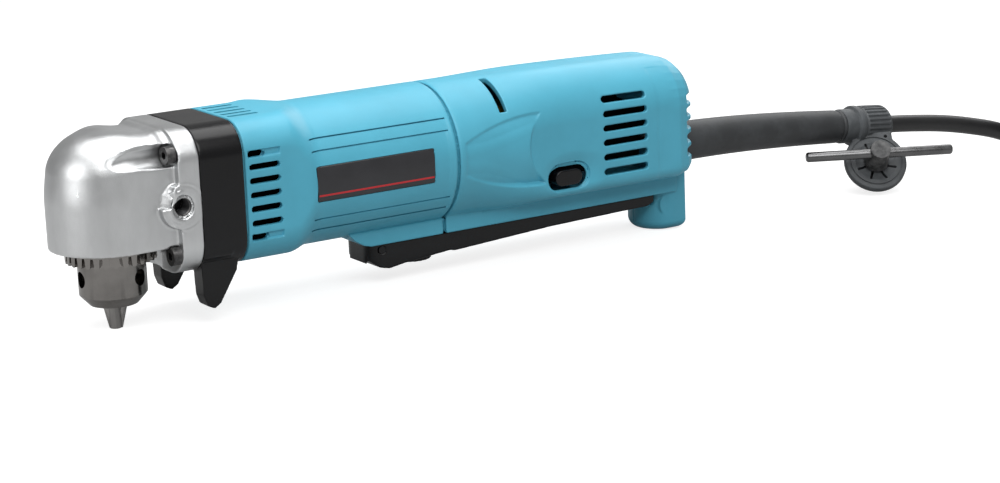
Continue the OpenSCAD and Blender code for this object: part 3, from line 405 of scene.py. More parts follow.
@dataclass(frozen=True)
class MouldedPlastic(Finish):
    """Injection-moulded plastic with a fine spark-eroded grain."""

    grain: float = 5200.0
    depth: float = 0.00003
    rub: float = 1.35
    coat: float = 0.0
    shine: float = 0.5

    def dress(self, graph: Surface) -> None:
        """Sets up grain, faint flow clouds and rubbed edges.

        Args:
            graph: The material's graph.
        """
        vector, _, _, _ = graph.object_axes()
        grain = graph.noise(vector, self.grain, 2.0, 0.5)
        clouds = graph.noise(vector, 38.0, 4.0, 0.6)
        smears = graph.noise(graph.stretched(vector, (0.35, 1.0, 1.0)), 160.0, 4.0, 0.65)
        body = graph.blend(self.shade(0.94), self.shade(1.06), clouds.within(0.3, 0.7))
        worn = graph.edge_wear(0.53, 0.68) * smears.within(0.35, 0.75) * 0.55
        graph.set(
            Base_Color=graph.blend(body, self.shade(self.rub), worn),
            Roughness=self.roughness + (smears - 0.5) * 0.14 + (grain - 0.5) * 0.06,
            Coat_Weight=self.coat, Coat_Roughness=0.25, Specular_IOR_Level=self.shine)
        graph.bump(grain, self.depth, 0.5)


@dataclass(frozen=True)
class CastMetal(Finish):
    """Bead-blasted die-cast aluminium with a slight skin."""

    pits: float = 2400.0

    def dress(self, graph: Surface) -> None:
        """Sets up the cast skin, its faint flow marks and polished edges.

        Args:
            graph: The material's graph.
        """
        vector, _, _, _ = graph.object_axes()
        pits = graph.noise(vector, self.pits, 3.0, 0.6)
        flow = graph.noise(graph.stretched(vector, (1.0, 1.0, 0.4)), 55.0, 5.0, 0.62)
        handled = graph.noise(vector, 190.0, 4.0, 0.6)
        skin = graph.blend(self.shade(0.86), self.shade(1.08), flow.within(0.28, 0.72))
        worn = graph.edge_wear(0.52, 0.6)
        graph.set(
            Base_Color=graph.blend(skin, self.shade(1.22), worn * 0.7),
            Metallic=1.0,
            Roughness=self.roughness + (handled - 0.5) * 0.16 + (pits - 0.5) * 0.12 - worn * 0.08)
        graph.bump(pits + flow * 0.35, 0.00012, 0.6)


@dataclass(frozen=True)
class TurnedSteel(Finish):
    """Steel with fine marks that run round an axis."""

    turning: Turning = Turning.PLAIN
    centre: Point = (0.0, 0.0, 0.0)
    tarnish: float = 0.7

    def dress(self, graph: Surface) -> None:
        """Sets up the tool marks, a light tarnish and bright edges.

        Args:
            graph: The material's graph.
        """
        vector, x, y, z = graph.object_axes()
        marks_at = self._marks(graph, vector, x, y, z)
        marks = graph.noise(marks_at, 1.0, 2.0, 0.7)
        stains = graph.noise(vector, 120.0, 5.0, 0.6)
        worn = graph.edge_wear(0.52, 0.6)
        metal = graph.blend(self.shade(self.tarnish), self.colour, stains.within(0.25, 0.6))
        graph.set(
            Base_Color=graph.blend(metal, self.shade(1.25), worn * 0.6),
            Metallic=1.0,
            Roughness=self.roughness + (stains - 0.5) * 0.18 + (marks - 0.5) * 0.16)
        graph.bump(marks, 0.00003, 0.5)

    def _marks(self, graph: Surface, vector: Value, x: Value, y: Value, z: Value) -> Value:
        """Gives the place where the tool marks are read.

        Args:
            graph: The material's graph.
            vector: The object coordinates.
            x: Their x.
            y: Their y.
            z: Their z.

        Returns:
            A vector that changes quickly across the marks and slowly along them.
        """
        if self.turning is Turning.PLAIN:
            return graph.stretched(vector, (900.0, 900.0, 900.0))
        along, u, v, cu, cv = (z, x, y, self.centre[0], self.centre[1])
        if self.turning is Turning.MOTOR:
            along, u, v, cu, cv = (x, y, z, self.centre[1], self.centre[2])
        radius = ((u - cu) * (u - cu) + (v - cv) * (v - cv)).power(0.5)
        turn = (u - cu).angle_from(v - cv)
        return graph.node("ShaderNodeCombineXYZ", {}, {0: along * 4200.0, 1: radius * 4200.0, 2: turn * 1.4})


@dataclass(frozen=True)
class Stacked(Finish):
    """Sheet laminations or wound wire, seen as fine ribs."""

    pitch: float = 0.0005
    across: Turning = Turning.MOTOR
    metal: float = 0.8

    def dress(self, graph: Surface) -> None:
        """Sets up the ribs with varnish in their gaps.

        Args:
            graph: The material's graph.
        """
        vector, x, y, z = graph.object_axes()
        place_on = x if self.across is Turning.MOTOR else y + z
        ribs = (place_on * (2.0 * math.pi / self.pitch)).sin() * 0.5 + 0.5
        varnish = graph.noise(vector, 300.0, 4.0, 0.6)
        graph.set(
            Base_Color=graph.blend(self.shade(0.45), self.shade(1.1), ribs * varnish.within(0.2, 0.7)),
            Metallic=self.metal, Roughness=self.roughness + (varnish - 0.5) * 0.2)
        graph.bump(ribs, self.pitch * 0.25, 0.8)


@dataclass(frozen=True)
class SoftRubber(Finish):
    """Matte rubber or cord sheath with a dusty bloom."""

    grain: float = 3000.0
    bloom: float = 1.8

    def dress(self, graph: Surface) -> None:
        """Sets up the rubber's grain and bloom.

        Args:
            graph: The material's graph.
        """
        vector, _, _, _ = graph.object_axes()
        grain = graph.noise(vector, self.grain, 3.0, 0.6)
        dust = graph.noise(vector, 90.0, 5.0, 0.65)
        graph.set(
            Base_Color=graph.blend(self.colour, self.shade(self.bloom), dust.within(0.45, 0.8)),
            Roughness=self.roughness + (dust - 0.5) * 0.16 + (grain - 0.5) * 0.08,
            Specular_IOR_Level=0.45)
        graph.bump(grain, 0.00004, 0.5)


@dataclass(frozen=True)
class BlackOxide(Finish):
    """Chemically blackened steel, rubbed bright at its edges."""

    bright: Colour = (0.42, 0.41, 0.4)

    def dress(self, graph: Surface) -> None:
        """Sets up the oxide, its brown clouds and the rubbed edges.

        Args:
            graph: The material's graph.
        """
        vector, _, _, _ = graph.object_axes()
        clouds = graph.noise(vector, 420.0, 5.0, 0.6)
        fine = graph.noise(vector, 5200.0, 2.0, 0.5)
        worn = graph.edge_wear(0.51, 0.6) * clouds.within(0.3, 0.65)
        oxide = graph.blend(self.colour, self.shade(1.7), clouds.within(0.35, 0.75))
        graph.set(Base_Color=graph.blend(oxide, self.bright, worn * 0.6), Metallic=0.85,
                  Roughness=self.roughness + (clouds - 0.5) * 0.2)
        graph.bump(fine, 0.00002, 0.4)


@dataclass(frozen=True)
class StripedPlate(Finish):
    """Charcoal name plate, left bare, with one thin red line."""

    line: Colour = (0.52, 0.012, 0.018)
    line_z: float = AXIS_HEIGHT * MM - 0.0043
    line_half: float = 0.00036
    start_x: float = (73.0 - MID_X) * MM
    end_x: float = (122.8 - MID_X) * MM

    def dress(self, graph: Surface) -> None:
        """Sets up the plate's satin paint and its red line.

        Args:
            graph: The material's graph.
        """
        vector, x, _, z = graph.object_axes()
        fine = graph.noise(vector, 2600.0, 2.0, 0.5)
        haze = graph.noise(vector, 60.0, 4.0, 0.6)
        on_line = (z - self.line_z).absolute() < self.line_half
        on_line = on_line * (x > self.start_x) * (x < self.end_x)
        ground = graph.blend(self.shade(0.85), self.shade(1.25), haze.within(0.3, 0.7))
        graph.set(Base_Color=graph.blend(ground, self.line, on_line),
                  Roughness=self.roughness + (haze - 0.5) * 0.12)
        graph.bump(fine, 0.00001, 0.3)


SPINDLE_AT = (-MID_X * MM, 0.0, 0.0)
MOTOR_AT = (0.0, 0.0, AXIS_HEIGHT * MM)


class Palette:
    """Every finish of the drill, built once."""

    FINISHES: tuple[Finish, ...] = (
        MouldedPlastic("blue_shell", (0.078, 0.375, 0.51), 0.42, coat=0.02, shine=0.36),
        CastMetal("cast_head", (0.6, 0.61, 0.615), 0.36),
        MouldedPlastic("black_plastic", (0.004, 0.004, 0.0046), 0.24, rub=3.0, shine=0.3),
        StripedPlate("name_plate", (0.02, 0.02, 0.023), 0.4),
        BlackOxide("dark_screw", (0.02, 0.02, 0.021), 0.42),
        TurnedSteel("steel", (0.5, 0.5, 0.51), 0.28),
        TurnedSteel("chuck_steel", (0.22, 0.21, 0.2), 0.17, Turning.SPINDLE, SPINDLE_AT),
        TurnedSteel("jaw_steel", (0.34, 0.33, 0.32), 0.34, Turning.SPINDLE, SPINDLE_AT),
        Stacked("lamination", (0.24, 0.24, 0.25), 0.42),
        Stacked("copper", (0.6, 0.24, 0.1), 0.36, 0.0006, Turning.PLAIN),
        TurnedSteel("bronze", (0.5, 0.33, 0.15), 0.4, Turning.MOTOR, MOTOR_AT),
        MouldedPlastic("carbon", (0.02, 0.02, 0.021), 0.6, 1800.0),
        MouldedPlastic("red_plastic", (0.32, 0.03, 0.025), 0.4),
        MouldedPlastic("film", (0.48, 0.3, 0.05), 0.3),
        SoftRubber("rubber", (0.027, 0.029, 0.031), 0.55),
        SoftRubber("holder_rubber", (0.055, 0.06, 0.064), 0.58),
        SoftRubber("cord", (0.013, 0.0132, 0.014), 0.42, 1600.0, 1.5),
        TurnedSteel("pin_metal", (0.66, 0.6, 0.45), 0.22, Turning.MOTOR, MOTOR_AT),
        BlackOxide("key_steel", (0.045, 0.046, 0.047), 0.4, (0.5, 0.49, 0.48)),
        TurnedSteel("bar_steel", (0.15, 0.15, 0.152), 0.3),
    )

    def __init__(self) -> None:
        """Builds every material."""
        self.materials = {f.name: f.build() for f in self.FINISHES}

    def on(self, piece: Piece, finish: str) -> None:
        """Gives a piece one finish all over.

        Args:
            piece: The object.
            finish: The finish's name.
        """
        if piece.type == "MESH" and piece.data.materials:
            for k in range(len(piece.data.materials)):
                piece.data.materials[k] = self.materials[finish]
        else:
            piece.data.materials.append(self.materials[finish])


class Side(Enum):
    """A side of the tool, by the sign of y."""

    LEFT = -1
    RIGHT = 1


class Join(Enum):
    """What one solid does to another."""

    CUT = "DIFFERENCE"
    ADD = "UNION"
    TRIM = "INTERSECT"


class Workshop:
    """Mesh tools that the sub-assemblies share."""

    def __init__(self, palette: Palette, nodes: dict[str, Piece]) -> None:
        """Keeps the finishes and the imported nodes.

        Args:
            palette: The drill's finishes.
            nodes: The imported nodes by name.
        """
        self.palette = palette
        self.nodes = nodes

    def solid(self, name: str, points: Iterable[Sequence[float]],
              faces: Iterable[Sequence[int]]) -> Piece:
        """Makes a mesh object from points in metres.

        Args:
            name: The piece's name.
            points: Its corners.
            faces: Its faces as corner numbers.

        Returns:
            The object, with outward normals.
        """
        mesh = bpy.data.meshes.new(name)
        mesh.from_pydata([tuple(p) for p in points], [], [tuple(f) for f in faces])
        with editing(mesh) as form:
            bmesh.ops.remove_doubles(form, verts=form.verts, dist=1e-7)
            bmesh.ops.recalc_face_normals(form, faces=form.faces)
        return linked(name, mesh)

    def loft(self, name: str, rings: Sequence[Sequence[Vector]], closed: bool = False) -> Piece:
        """Skins a list of rings with as many points each.

        Args:
            name: The piece's name.
            rings: The rings, each a closed line of points.
            closed: Whether the last ring meets the first; otherwise the ends are capped.

        Returns:
            The lofted object.
        """
        n = len(rings[0])
        points = [p for ring in rings for p in ring]
        spans = len(rings) if closed else len(rings) - 1
        faces: list[tuple[int, ...]] = []
        for i in range(spans):
            a, b = i * n, ((i + 1) % len(rings)) * n
            faces += [(a + j, b + j, b + (j + 1) % n, a + (j + 1) % n) for j in range(n)]
        if not closed:
            faces += [tuple(range(n)), tuple(range((len(rings) - 1) * n, len(rings) * n))]
        return self.solid(name, points, faces)

    def prism(self, name: str, outline: Sequence[Vector], along: Vector) -> Piece:
        """Extrudes a closed outline along a vector."""
        return self.loft(name, [list(outline), [p + along for p in outline]])

    def turned(self, name: str, profile: Sequence[Pair], frame: Matrix, sides: int = 48,
               shape: Callable[[float, float], float] | None = None,
               closed: bool = False) -> Piece:
        """Turns a profile about a frame's third axis.

        Args:
            name: The piece's name.
            profile: Places along the axis with their radii, in millimetres.
            frame: The axis' frame in the drill's own millimetres.
            sides: Points round it.
            shape: Change of the radius at a place and an angle in radians, for ribs or teeth.
            closed: Whether the profile's end meets its start.

        Returns:
            The turned object.
        """
        rings = []
        for along, radius in profile:
            ring = []
            for a in circle(sides):
                r = radius + (shape(along, a) if shape else 0.0)
                ring.append(placed(frame, r * math.cos(a), r * math.sin(a), along))
            rings.append(ring)
        return self.loft(name, rings, closed)

    def block(self, name: str, low: Point, high: Point, frame: Matrix | None = None) -> Piece:
        """Makes a box between two corners.

        Args:
            name: The piece's name.
            low: Its low corner in millimetres.
            high: Its high corner.
            frame: The frame of both corners, or None for the drill's own.

        Returns:
            The box.
        """
        spot = frame or Matrix.Identity(4)
        rings = [[placed(spot, x, y, z) for x, y in
                  ((low[0], low[1]), (high[0], low[1]), (high[0], high[1]), (low[0], high[1]))]
                 for z in (low[2], high[2])]
        return self.loft(name, rings)

    def copy(self, node: str, name: str) -> Piece:
        """Makes a new piece with a node's shape.

        Args:
            node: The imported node's name.
            name: The piece's name.

        Returns:
            The piece, with its doubled corners joined.
        """
        mesh = self.nodes[node].data.copy()
        mesh.materials.clear()
        with editing(mesh) as form:
            bmesh.ops.remove_doubles(form, verts=form.verts, dist=1e-6)
        return linked(name, mesh)

    def bake(self, piece: Piece) -> None:
        """Turns a piece's modifiers into its mesh.

        Args:
            piece: The object.
        """
        graph = bpy.context.evaluated_depsgraph_get()
        mesh = bpy.data.meshes.new_from_object(piece.evaluated_get(graph))
        old = piece.data
        piece.modifiers.clear()
        piece.data = mesh
        mesh.name = piece.name
        bpy.data.meshes.remove(old)

    def combine(self, piece: Piece, others: Sequence[Piece], join: Join) -> None:
        """Cuts or joins other solids, which are then removed.

        Args:
            piece: The solid that changes.
            others: The tools.
            join: What they do to it.
        """
        for other in others:
            step = piece.modifiers.new("step", "BOOLEAN")
            step.operation = join.value
            step.solver = "EXACT"
            step.object = other
        self.bake(piece)
        for other in others:
            bpy.data.meshes.remove(other.data)

    def cut(self, piece: Piece, *tools: Piece) -> None:
        """Cuts solids out of a piece."""
        self.combine(piece, tools, Join.CUT)

    def add(self, piece: Piece, *parts: Piece) -> None:
        """Joins solids to a piece."""
        self.combine(piece, parts, Join.ADD)

    def soften(self, piece: Piece, voxel: float, passes: int, factor: float = 0.5) -> None:
        """Rounds every edge of a piece by a fine remesh and a few smoothing passes.

        Args:
            piece: The solid.
            voxel: The remesh's step in millimetres.
            passes: Smoothing passes.
            factor: How far a pass moves a point.
        """
        remesh = piece.modifiers.new("remesh", "REMESH")
        remesh.mode = "VOXEL"
        remesh.voxel_size = voxel * MM
        remesh.use_smooth_shade = True
        ease = piece.modifiers.new("ease", "SMOOTH")
        ease.factor = factor
        ease.iterations = passes
        self.bake(piece)

    def press(self, piece: Piece, depth: Callable[[Vector, Vector], float]) -> None:
        """Presses a fine mesh in along its normals.

        Args:
            piece: The object.
            depth: Depth in millimetres at a point and a normal in the drill's own frame.
        """
        mesh = piece.data
        mesh.update()
        moves = [(v, v.normal.copy(), depth(local(v.co), v.normal)) for v in mesh.vertices]
        for v, n, d in moves:
            if d:
                v.co -= n * (d * MM)
        mesh.update()

    def reshape(self, piece: Piece, move: Callable[[Vector], Vector]) -> None:
        """Moves every point of a mesh.

        Args:
            piece: The object.
            move: The new place of a point, both in the drill's own millimetres.
        """
        for v in piece.data.vertices:
            v.co = place(*move(local(v.co)))
        piece.data.update()

    def thin_out(self, piece: Piece, share: float) -> None:
        """Keeps a share of a piece's faces, with its shape.

        Args:
            piece: The object.
            share: The share of its faces.
        """
        step = piece.modifiers.new("thin", "DECIMATE")
        step.ratio = share
        self.bake(piece)

    def bevel(self, piece: Piece, width: float, segments: int = 2, angle: float = 32.0) -> None:
        """Rounds a piece's sharp edges with a modifier.

        Args:
            piece: The object.
            width: The width in millimetres.
            segments: Faces across a rounded edge.
            angle: Edges sharper than this are rounded.
        """
        step = piece.modifiers.new("edges", "BEVEL")
        step.width = width * MM
        step.segments = segments
        step.limit_method = "ANGLE"
        step.angle_limit = math.radians(angle)
        step.use_clamp_overlap = True
        step.harden_normals = False

    def shade(self, piece: Piece, angle: float = 34.0) -> None:
        """Shades a piece smooth, apart from edges sharper than an angle.

        Args:
            piece: The object.
            angle: The angle in degrees.
        """
        limit = math.radians(angle)
        with editing(piece.data) as form:
            for face in form.faces:
                face.smooth = True
            for edge in form.edges:
                edge.smooth = len(edge.link_faces) == 2 and edge.calc_face_angle(0.0) < limit

    def seat(self, piece: Piece, body: str, slot: str, finish: str,
             *nodes: str) -> Piece:
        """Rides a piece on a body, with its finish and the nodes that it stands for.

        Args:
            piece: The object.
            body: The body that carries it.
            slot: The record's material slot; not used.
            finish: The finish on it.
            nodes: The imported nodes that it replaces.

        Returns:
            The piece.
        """
        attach(piece, body)
        if nodes:
            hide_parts(*nodes)
        self.palette.on(piece, finish)
        LOG.info("%s rides on %s", piece.name, body)
        return piece


def catmull(points: Sequence[Vector], steps: int) -> list[Vector]:
    """Runs a smooth line through points.

    Args:
        points: The points.
        steps: Pieces between two of them.

    Returns:
        The finer line, with the same ends.
    """
    line: list[Vector] = []
    for i in range(len(points) - 1):
        p0, p1, p2, p3 = (points[max(0, min(len(points) - 1, i + k))] for k in (-1, 0, 1, 2))
        for k in range(steps):
            t = k / steps
            line.append(0.5 * (2 * p1 + (p2 - p0) * t + (2 * p0 - 5 * p1 + 4 * p2 - p3) * t * t
                               + (3 * p1 - p0 - 3 * p2 + p3) * t ** 3))
    line.append(points[-1].copy())
    return line


WHITE = (1.0, 1.0, 1.0)


@dataclass
class Studio:
    """The camera at the photograph's place, the pale floor and the soft light."""

    azimuth: float = -32.11
    elevation: float = 13.63
    roll: float = -2.19
    lens: float = 93.6
    eye: Point = (-370.3, -857.7, 203.7)
    mirrored: float = 0.15
    world_light: float = 0.2
    floor_half: float = 40.0
    floor_tone: float = 0.38
    floor_glow: float = 0.8

    def build(self) -> None:
        """Makes the camera, the floor, the world and the lamps."""
        self._camera()
        self._floor()
        self._world()
        self._lamps()
        bpy.context.scene.view_settings.view_transform = "Standard"

    def _camera(self) -> None:
        """Sets the camera up from its angles."""
        a, e, r = (math.radians(v) for v in (self.azimuth, self.elevation, self.roll))
        back = Vector((math.sin(a) * math.cos(e), -math.cos(a) * math.cos(e), math.sin(e)))
        right = Vector((math.cos(a), math.sin(a), 0.0))
        up = back.cross(right)
        side = math.cos(r) * right + math.sin(r) * up
        top = math.cos(r) * up - math.sin(r) * right
        data = bpy.data.cameras.new("photo_camera")
        data.lens = self.lens
        data.sensor_width = 36.0
        data.sensor_fit = "HORIZONTAL"
        data.clip_start, data.clip_end = 0.01, 100.0
        camera = linked("photo_camera", data)
        turn = Matrix((side, top, back)).transposed().to_4x4()
        camera.matrix_world = Matrix.Translation(place(*self.eye)) @ turn
        bpy.context.scene.camera = camera

    def _seen(self, graph: Graph) -> Value:
        """Gives 1 to camera and transmission rays, and a small share to glossy rays.

        Args:
            graph: The floor's or the world's graph.

        Returns:
            The share of white that a ray sees.
        """
        camera, glossy, through = (graph.node("ShaderNodeLightPath", out=f"Is {kind} Ray")
                                   for kind in ("Camera", "Glossy", "Transmission"))
        return (camera + glossy * self.mirrored + through).within(0.0, 1.0)

    def _floor(self) -> None:
        """Makes the wide pale floor, which adds white to what it receives for the rays that see it."""
        half = self.floor_half
        corners = [(x, y, 0.0) for x, y in ((-half, -half), (half, -half), (half, half), (-half, half))]
        mesh = bpy.data.meshes.new("studio_floor")
        mesh.from_pydata(corners, [], [(0, 1, 2, 3)])
        floor = linked("studio_floor", mesh)
        graph = Surface("studio_floor")
        graph.set(Base_Color=(self.floor_tone,) * 3, Roughness=0.9, Specular_IOR_Level=0.1)
        glow = graph.node("ShaderNodeEmission", {}, {"Color": WHITE, "Strength": self.floor_glow})
        both = graph.node("ShaderNodeAddShader", {}, {0: graph.lit, 1: glow})
        shown = graph.node("ShaderNodeMixShader", {}, {0: self._seen(graph), 1: graph.lit, 2: both})
        graph.feed(graph.output.inputs[0], shown)
        mesh.materials.append(graph.material)

    def _world(self) -> None:
        """Lights the scene softly and shows white to the camera."""
        world = bpy.data.worlds.new("studio_world")
        world.use_nodes = True
        graph = Graph(world.node_tree)
        soft, white = (graph.node("ShaderNodeBackground", {}, {"Color": WHITE, "Strength": strength})
                       for strength in (self.world_light, 1.0))
        shown = graph.node("ShaderNodeMixShader", {}, {0: self._seen(graph), 1: soft, 2: white})
        graph.make("ShaderNodeOutputWorld", inputs={0: shown})
        bpy.context.scene.world = world

    def _lamps(self) -> None:
        """Hangs a wide softbox overhead and smaller ones in front and behind."""
        lamps = (
            ("top_softbox", (120.0, 60.0, 720.0), (120.0, 0.0, 0.0), 0.95, 0.6, 6.2),
            ("front_softbox", (-20.0, -620.0, 640.0), (110.0, 0.0, -5.0), 0.7, 0.5, 5.2),
            ("nose_softbox", (-620.0, -60.0, 260.0), (0.0, 0.0, 0.0), 0.35, 0.5, 1.8),
            ("tail_softbox", (720.0, 320.0, 380.0), (200.0, 0.0, 0.0), 0.5, 0.4, 1.5),
        )
        for name, at, to, wide, high, power in lamps:
            data = bpy.data.lights.new(name, "AREA")
            data.shape = "RECTANGLE"
            data.size, data.size_y, data.energy = wide, high, power
            lamp = linked(name, data)
            lamp.location = place(*at)
            lamp.rotation_mode = "QUATERNION"
            lamp.rotation_quaternion = (place(*to) - place(*at)).to_track_quat("-Z", "Y")


@dataclass
class KeyHolder:
    """The rubber holder on the cord with the chuck key in it."""

    collar_at: Point = (349.5, 0.0, -19.55)
    collar_slope: float = 5.71
    collar_r: float = 8.8
    collar_len: float = 20.0
    cord_hole: float = 4.4
    neck_len: float = 6.5
    neck_r: float = 7.45
    ribs: int = 26
    rib_span: Pair = (4.4, 16.6)
    rib_depth: float = 0.55
    disc_at: Point = (352.0, -14.0, -34.0)
    disc_tilt: float = 51.7
    disc_yaw: float = -26.5
    disc_t: float = 3.4
    disc_r: float = 13.5
    neck_half: float = 9.0
    neck_up: float = 14.0
    key_r: float = 4.06
    dish: tuple[Pair, ...] = ((-1.0, 6.4), (-0.2, 8.6), (1.0, 10.6))
    groove_r: Pair = (10.9, 11.6)
    groove_depth: float = 0.5
    slits: int = 8
    slit_half: float = 0.55
    slit_end: float = 9.2
    pinhole_at: Pair = (6.0, 11.6)
    pinhole_r: float = 0.8
    through: float = 4.0
    bar_up: float = 9.0
    bar_r: float = 2.15
    hub_low: float = 2.0
    hub_share: float = 0.78
    bar_half: float = 32.0
    bar_edge: float = 1.1

    @property
    def disc(self) -> Matrix:
        """Returns the frame of the round end, with the key along its third axis."""
        yaw = Matrix.Rotation(math.radians(self.disc_yaw), 4, "Z")
        return Matrix.Translation(self.disc_at) @ yaw @ Matrix.Rotation(math.radians(self.disc_tilt), 4, "X")

    @property
    def collar(self) -> Matrix:
        """Returns the collar's frame, with the cord along its third axis."""
        slope = Matrix.Rotation(math.radians(90.0 + self.collar_slope), 4, "Y")
        return Matrix.Translation(self.collar_at) @ slope

    def rib(self, along: float, angle: float) -> float:
        """Returns the collar's change of radius.

        Args:
            along: Place along the collar in millimetres.
            angle: Angle round it.

        Returns:
            The depth of a groove between two ribs, negative.
        """
        low, high = self.rib_span
        share = smooth((along - low) / 0.8) * smooth((high - along) / 0.8)
        return -self.rib_depth * share * smooth(0.5 + 0.9 * math.cos(self.ribs * angle))

    def make_collar(self, shop: Workshop) -> Piece:
        """Makes the ribbed collar round the cord.

        Args:
            shop: The mesh tools.

        Returns:
            The collar, with the neck that reaches back to the guard.
        """
        r, hole, neck = self.collar_r, self.cord_hole, self.neck_r
        back = -self.neck_len
        profile = [(back, hole), (back, neck - 0.25), (back + 0.6, neck), (-0.3, neck)]
        steps = ((0.0, 0.8), (0.25, 0.25), (0.8, 0.0), (2.4, 0.0), (3.0, 0.25), (3.3, 0.7), (4.0, 0.7),
                 (4.4, 0.3), (4.8, 0.1), (5.2, 0.1), (15.8, 0.1), (16.2, 0.1), (16.6, 0.2), (17.4, 0.6),
                 (18.4, 1.5), (19.2, 2.7), (19.8, 3.8))
        profile += [(along, r - dip) for along, dip in steps] + [(self.collar_len, hole)]
        return shop.turned("holder_collar", profile, self.collar, self.ribs * 10, self.rib)

    def make_tongue(self, shop: Workshop) -> Piece:
        """Makes the flat round end.

        Args:
            shop: The mesh tools.

        Returns:
            The end with its dish, groove, slits and small holes.
        """
        spot, t, r = self.disc, self.disc_t / 2, self.disc_r
        half = [(r * math.cos(math.radians(a)), r * math.sin(math.radians(a))) for a in range(132, 409, 6)]
        outline = half + [(self.neck_half, self.neck_up), (-self.neck_half, self.neck_up)]
        base = [placed(spot, x, y, -t) for x, y in outline]
        lift = placed(spot, 0.0, 0.0, t) - placed(spot, 0.0, 0.0, -t)
        tongue = shop.prism("holder_tongue", base, lift)
        shop.bevel(tongue, 0.7, 3)
        shop.bake(tongue)
        deep, (inner, outer) = self.through, self.groove_r
        cuts = [shop.turned("bore", [(-deep, self.key_r), (deep, self.key_r)], spot, 40)]
        cuts.append(shop.turned("dish", [(t + up, wide) for up, wide in self.dish], spot, 48))
        groove = shop.turned("groove", [(t - self.groove_depth, outer), (t + 1.0, outer)], spot, 48)
        shop.cut(groove, shop.turned("core", [(t - 2.0, inner), (t + 2.0, inner)], spot, 48))
        cuts.append(groove)
        low, high = (self.key_r - 0.5, -self.slit_half, -deep), (self.slit_end, self.slit_half, deep)
        for k in range(self.slits):
            turn = spot @ Matrix.Rotation(2 * math.pi * (k + 0.5) / self.slits, 4, "Z")
            cuts.append(shop.block("slit", low, high, turn))
        across, up = self.pinhole_at
        for side in Side:
            peg = spot @ Matrix.Translation((side.value * across, up, 0.0))
            cuts.append(shop.turned("pinhole", [(-deep, self.pinhole_r), (deep, self.pinhole_r)], peg, 16))
        shop.cut(tongue, *cuts)
        return tongue

    def slim_hub(self, p: Vector) -> Vector:
        """Draws in the hub round the key's bar.

        Args:
            p: A point of the key in the drill's millimetres.

        Returns:
            Where the point goes.
        """
        q = self.disc.inverted() @ p
        share = mix(1.0, self.hub_share, smooth((q.z - self.hub_low) / 1.5))
        return self.disc @ Vector((q.x * share, q.y * share, q.z))

    def build(self, shop: Workshop) -> list[Piece]:
        """Makes the holder, the key and its bar.

        Args:
            shop: The mesh tools.

        Returns:
            The pieces that go with the cord.
        """
        holder = self.make_tongue(shop)
        shop.add(holder, self.make_collar(shop))
        holder.name = "rubber_key_holder"
        shop.shade(holder, 38.0)
        shop.seat(holder, "housing", "rubber", "holder_rubber", "key_holder")
        key = shop.copy("chuck_key", "key_shank")
        shop.reshape(key, self.slim_hub)
        shop.bevel(key, 0.25, 2, 40.0)
        shop.shade(key, 30.0)
        shop.seat(key, "key", "key_steel", "key_steel", "chuck_key")
        spot = self.disc @ Matrix.Translation((0.0, 0.0, self.bar_up)) @ Matrix.Rotation(math.pi / 2, 4, "Y")
        edge = self.bar_edge
        end, r = self.bar_half - edge, self.bar_r - edge
        tips = [(end + edge * math.sin(a), r + edge * math.cos(a)) for a in (0.0, 0.4, 0.8, 1.2, 1.57)]
        profile = [(-x, y) for x, y in reversed(tips)] + tips
        bar = shop.turned("key_cross_bar", profile, spot, 32)
        shop.shade(bar, 40.0)
        shop.seat(bar, "key", "key_steel", "bar_steel", "key_bar")
        return [holder, key, bar]


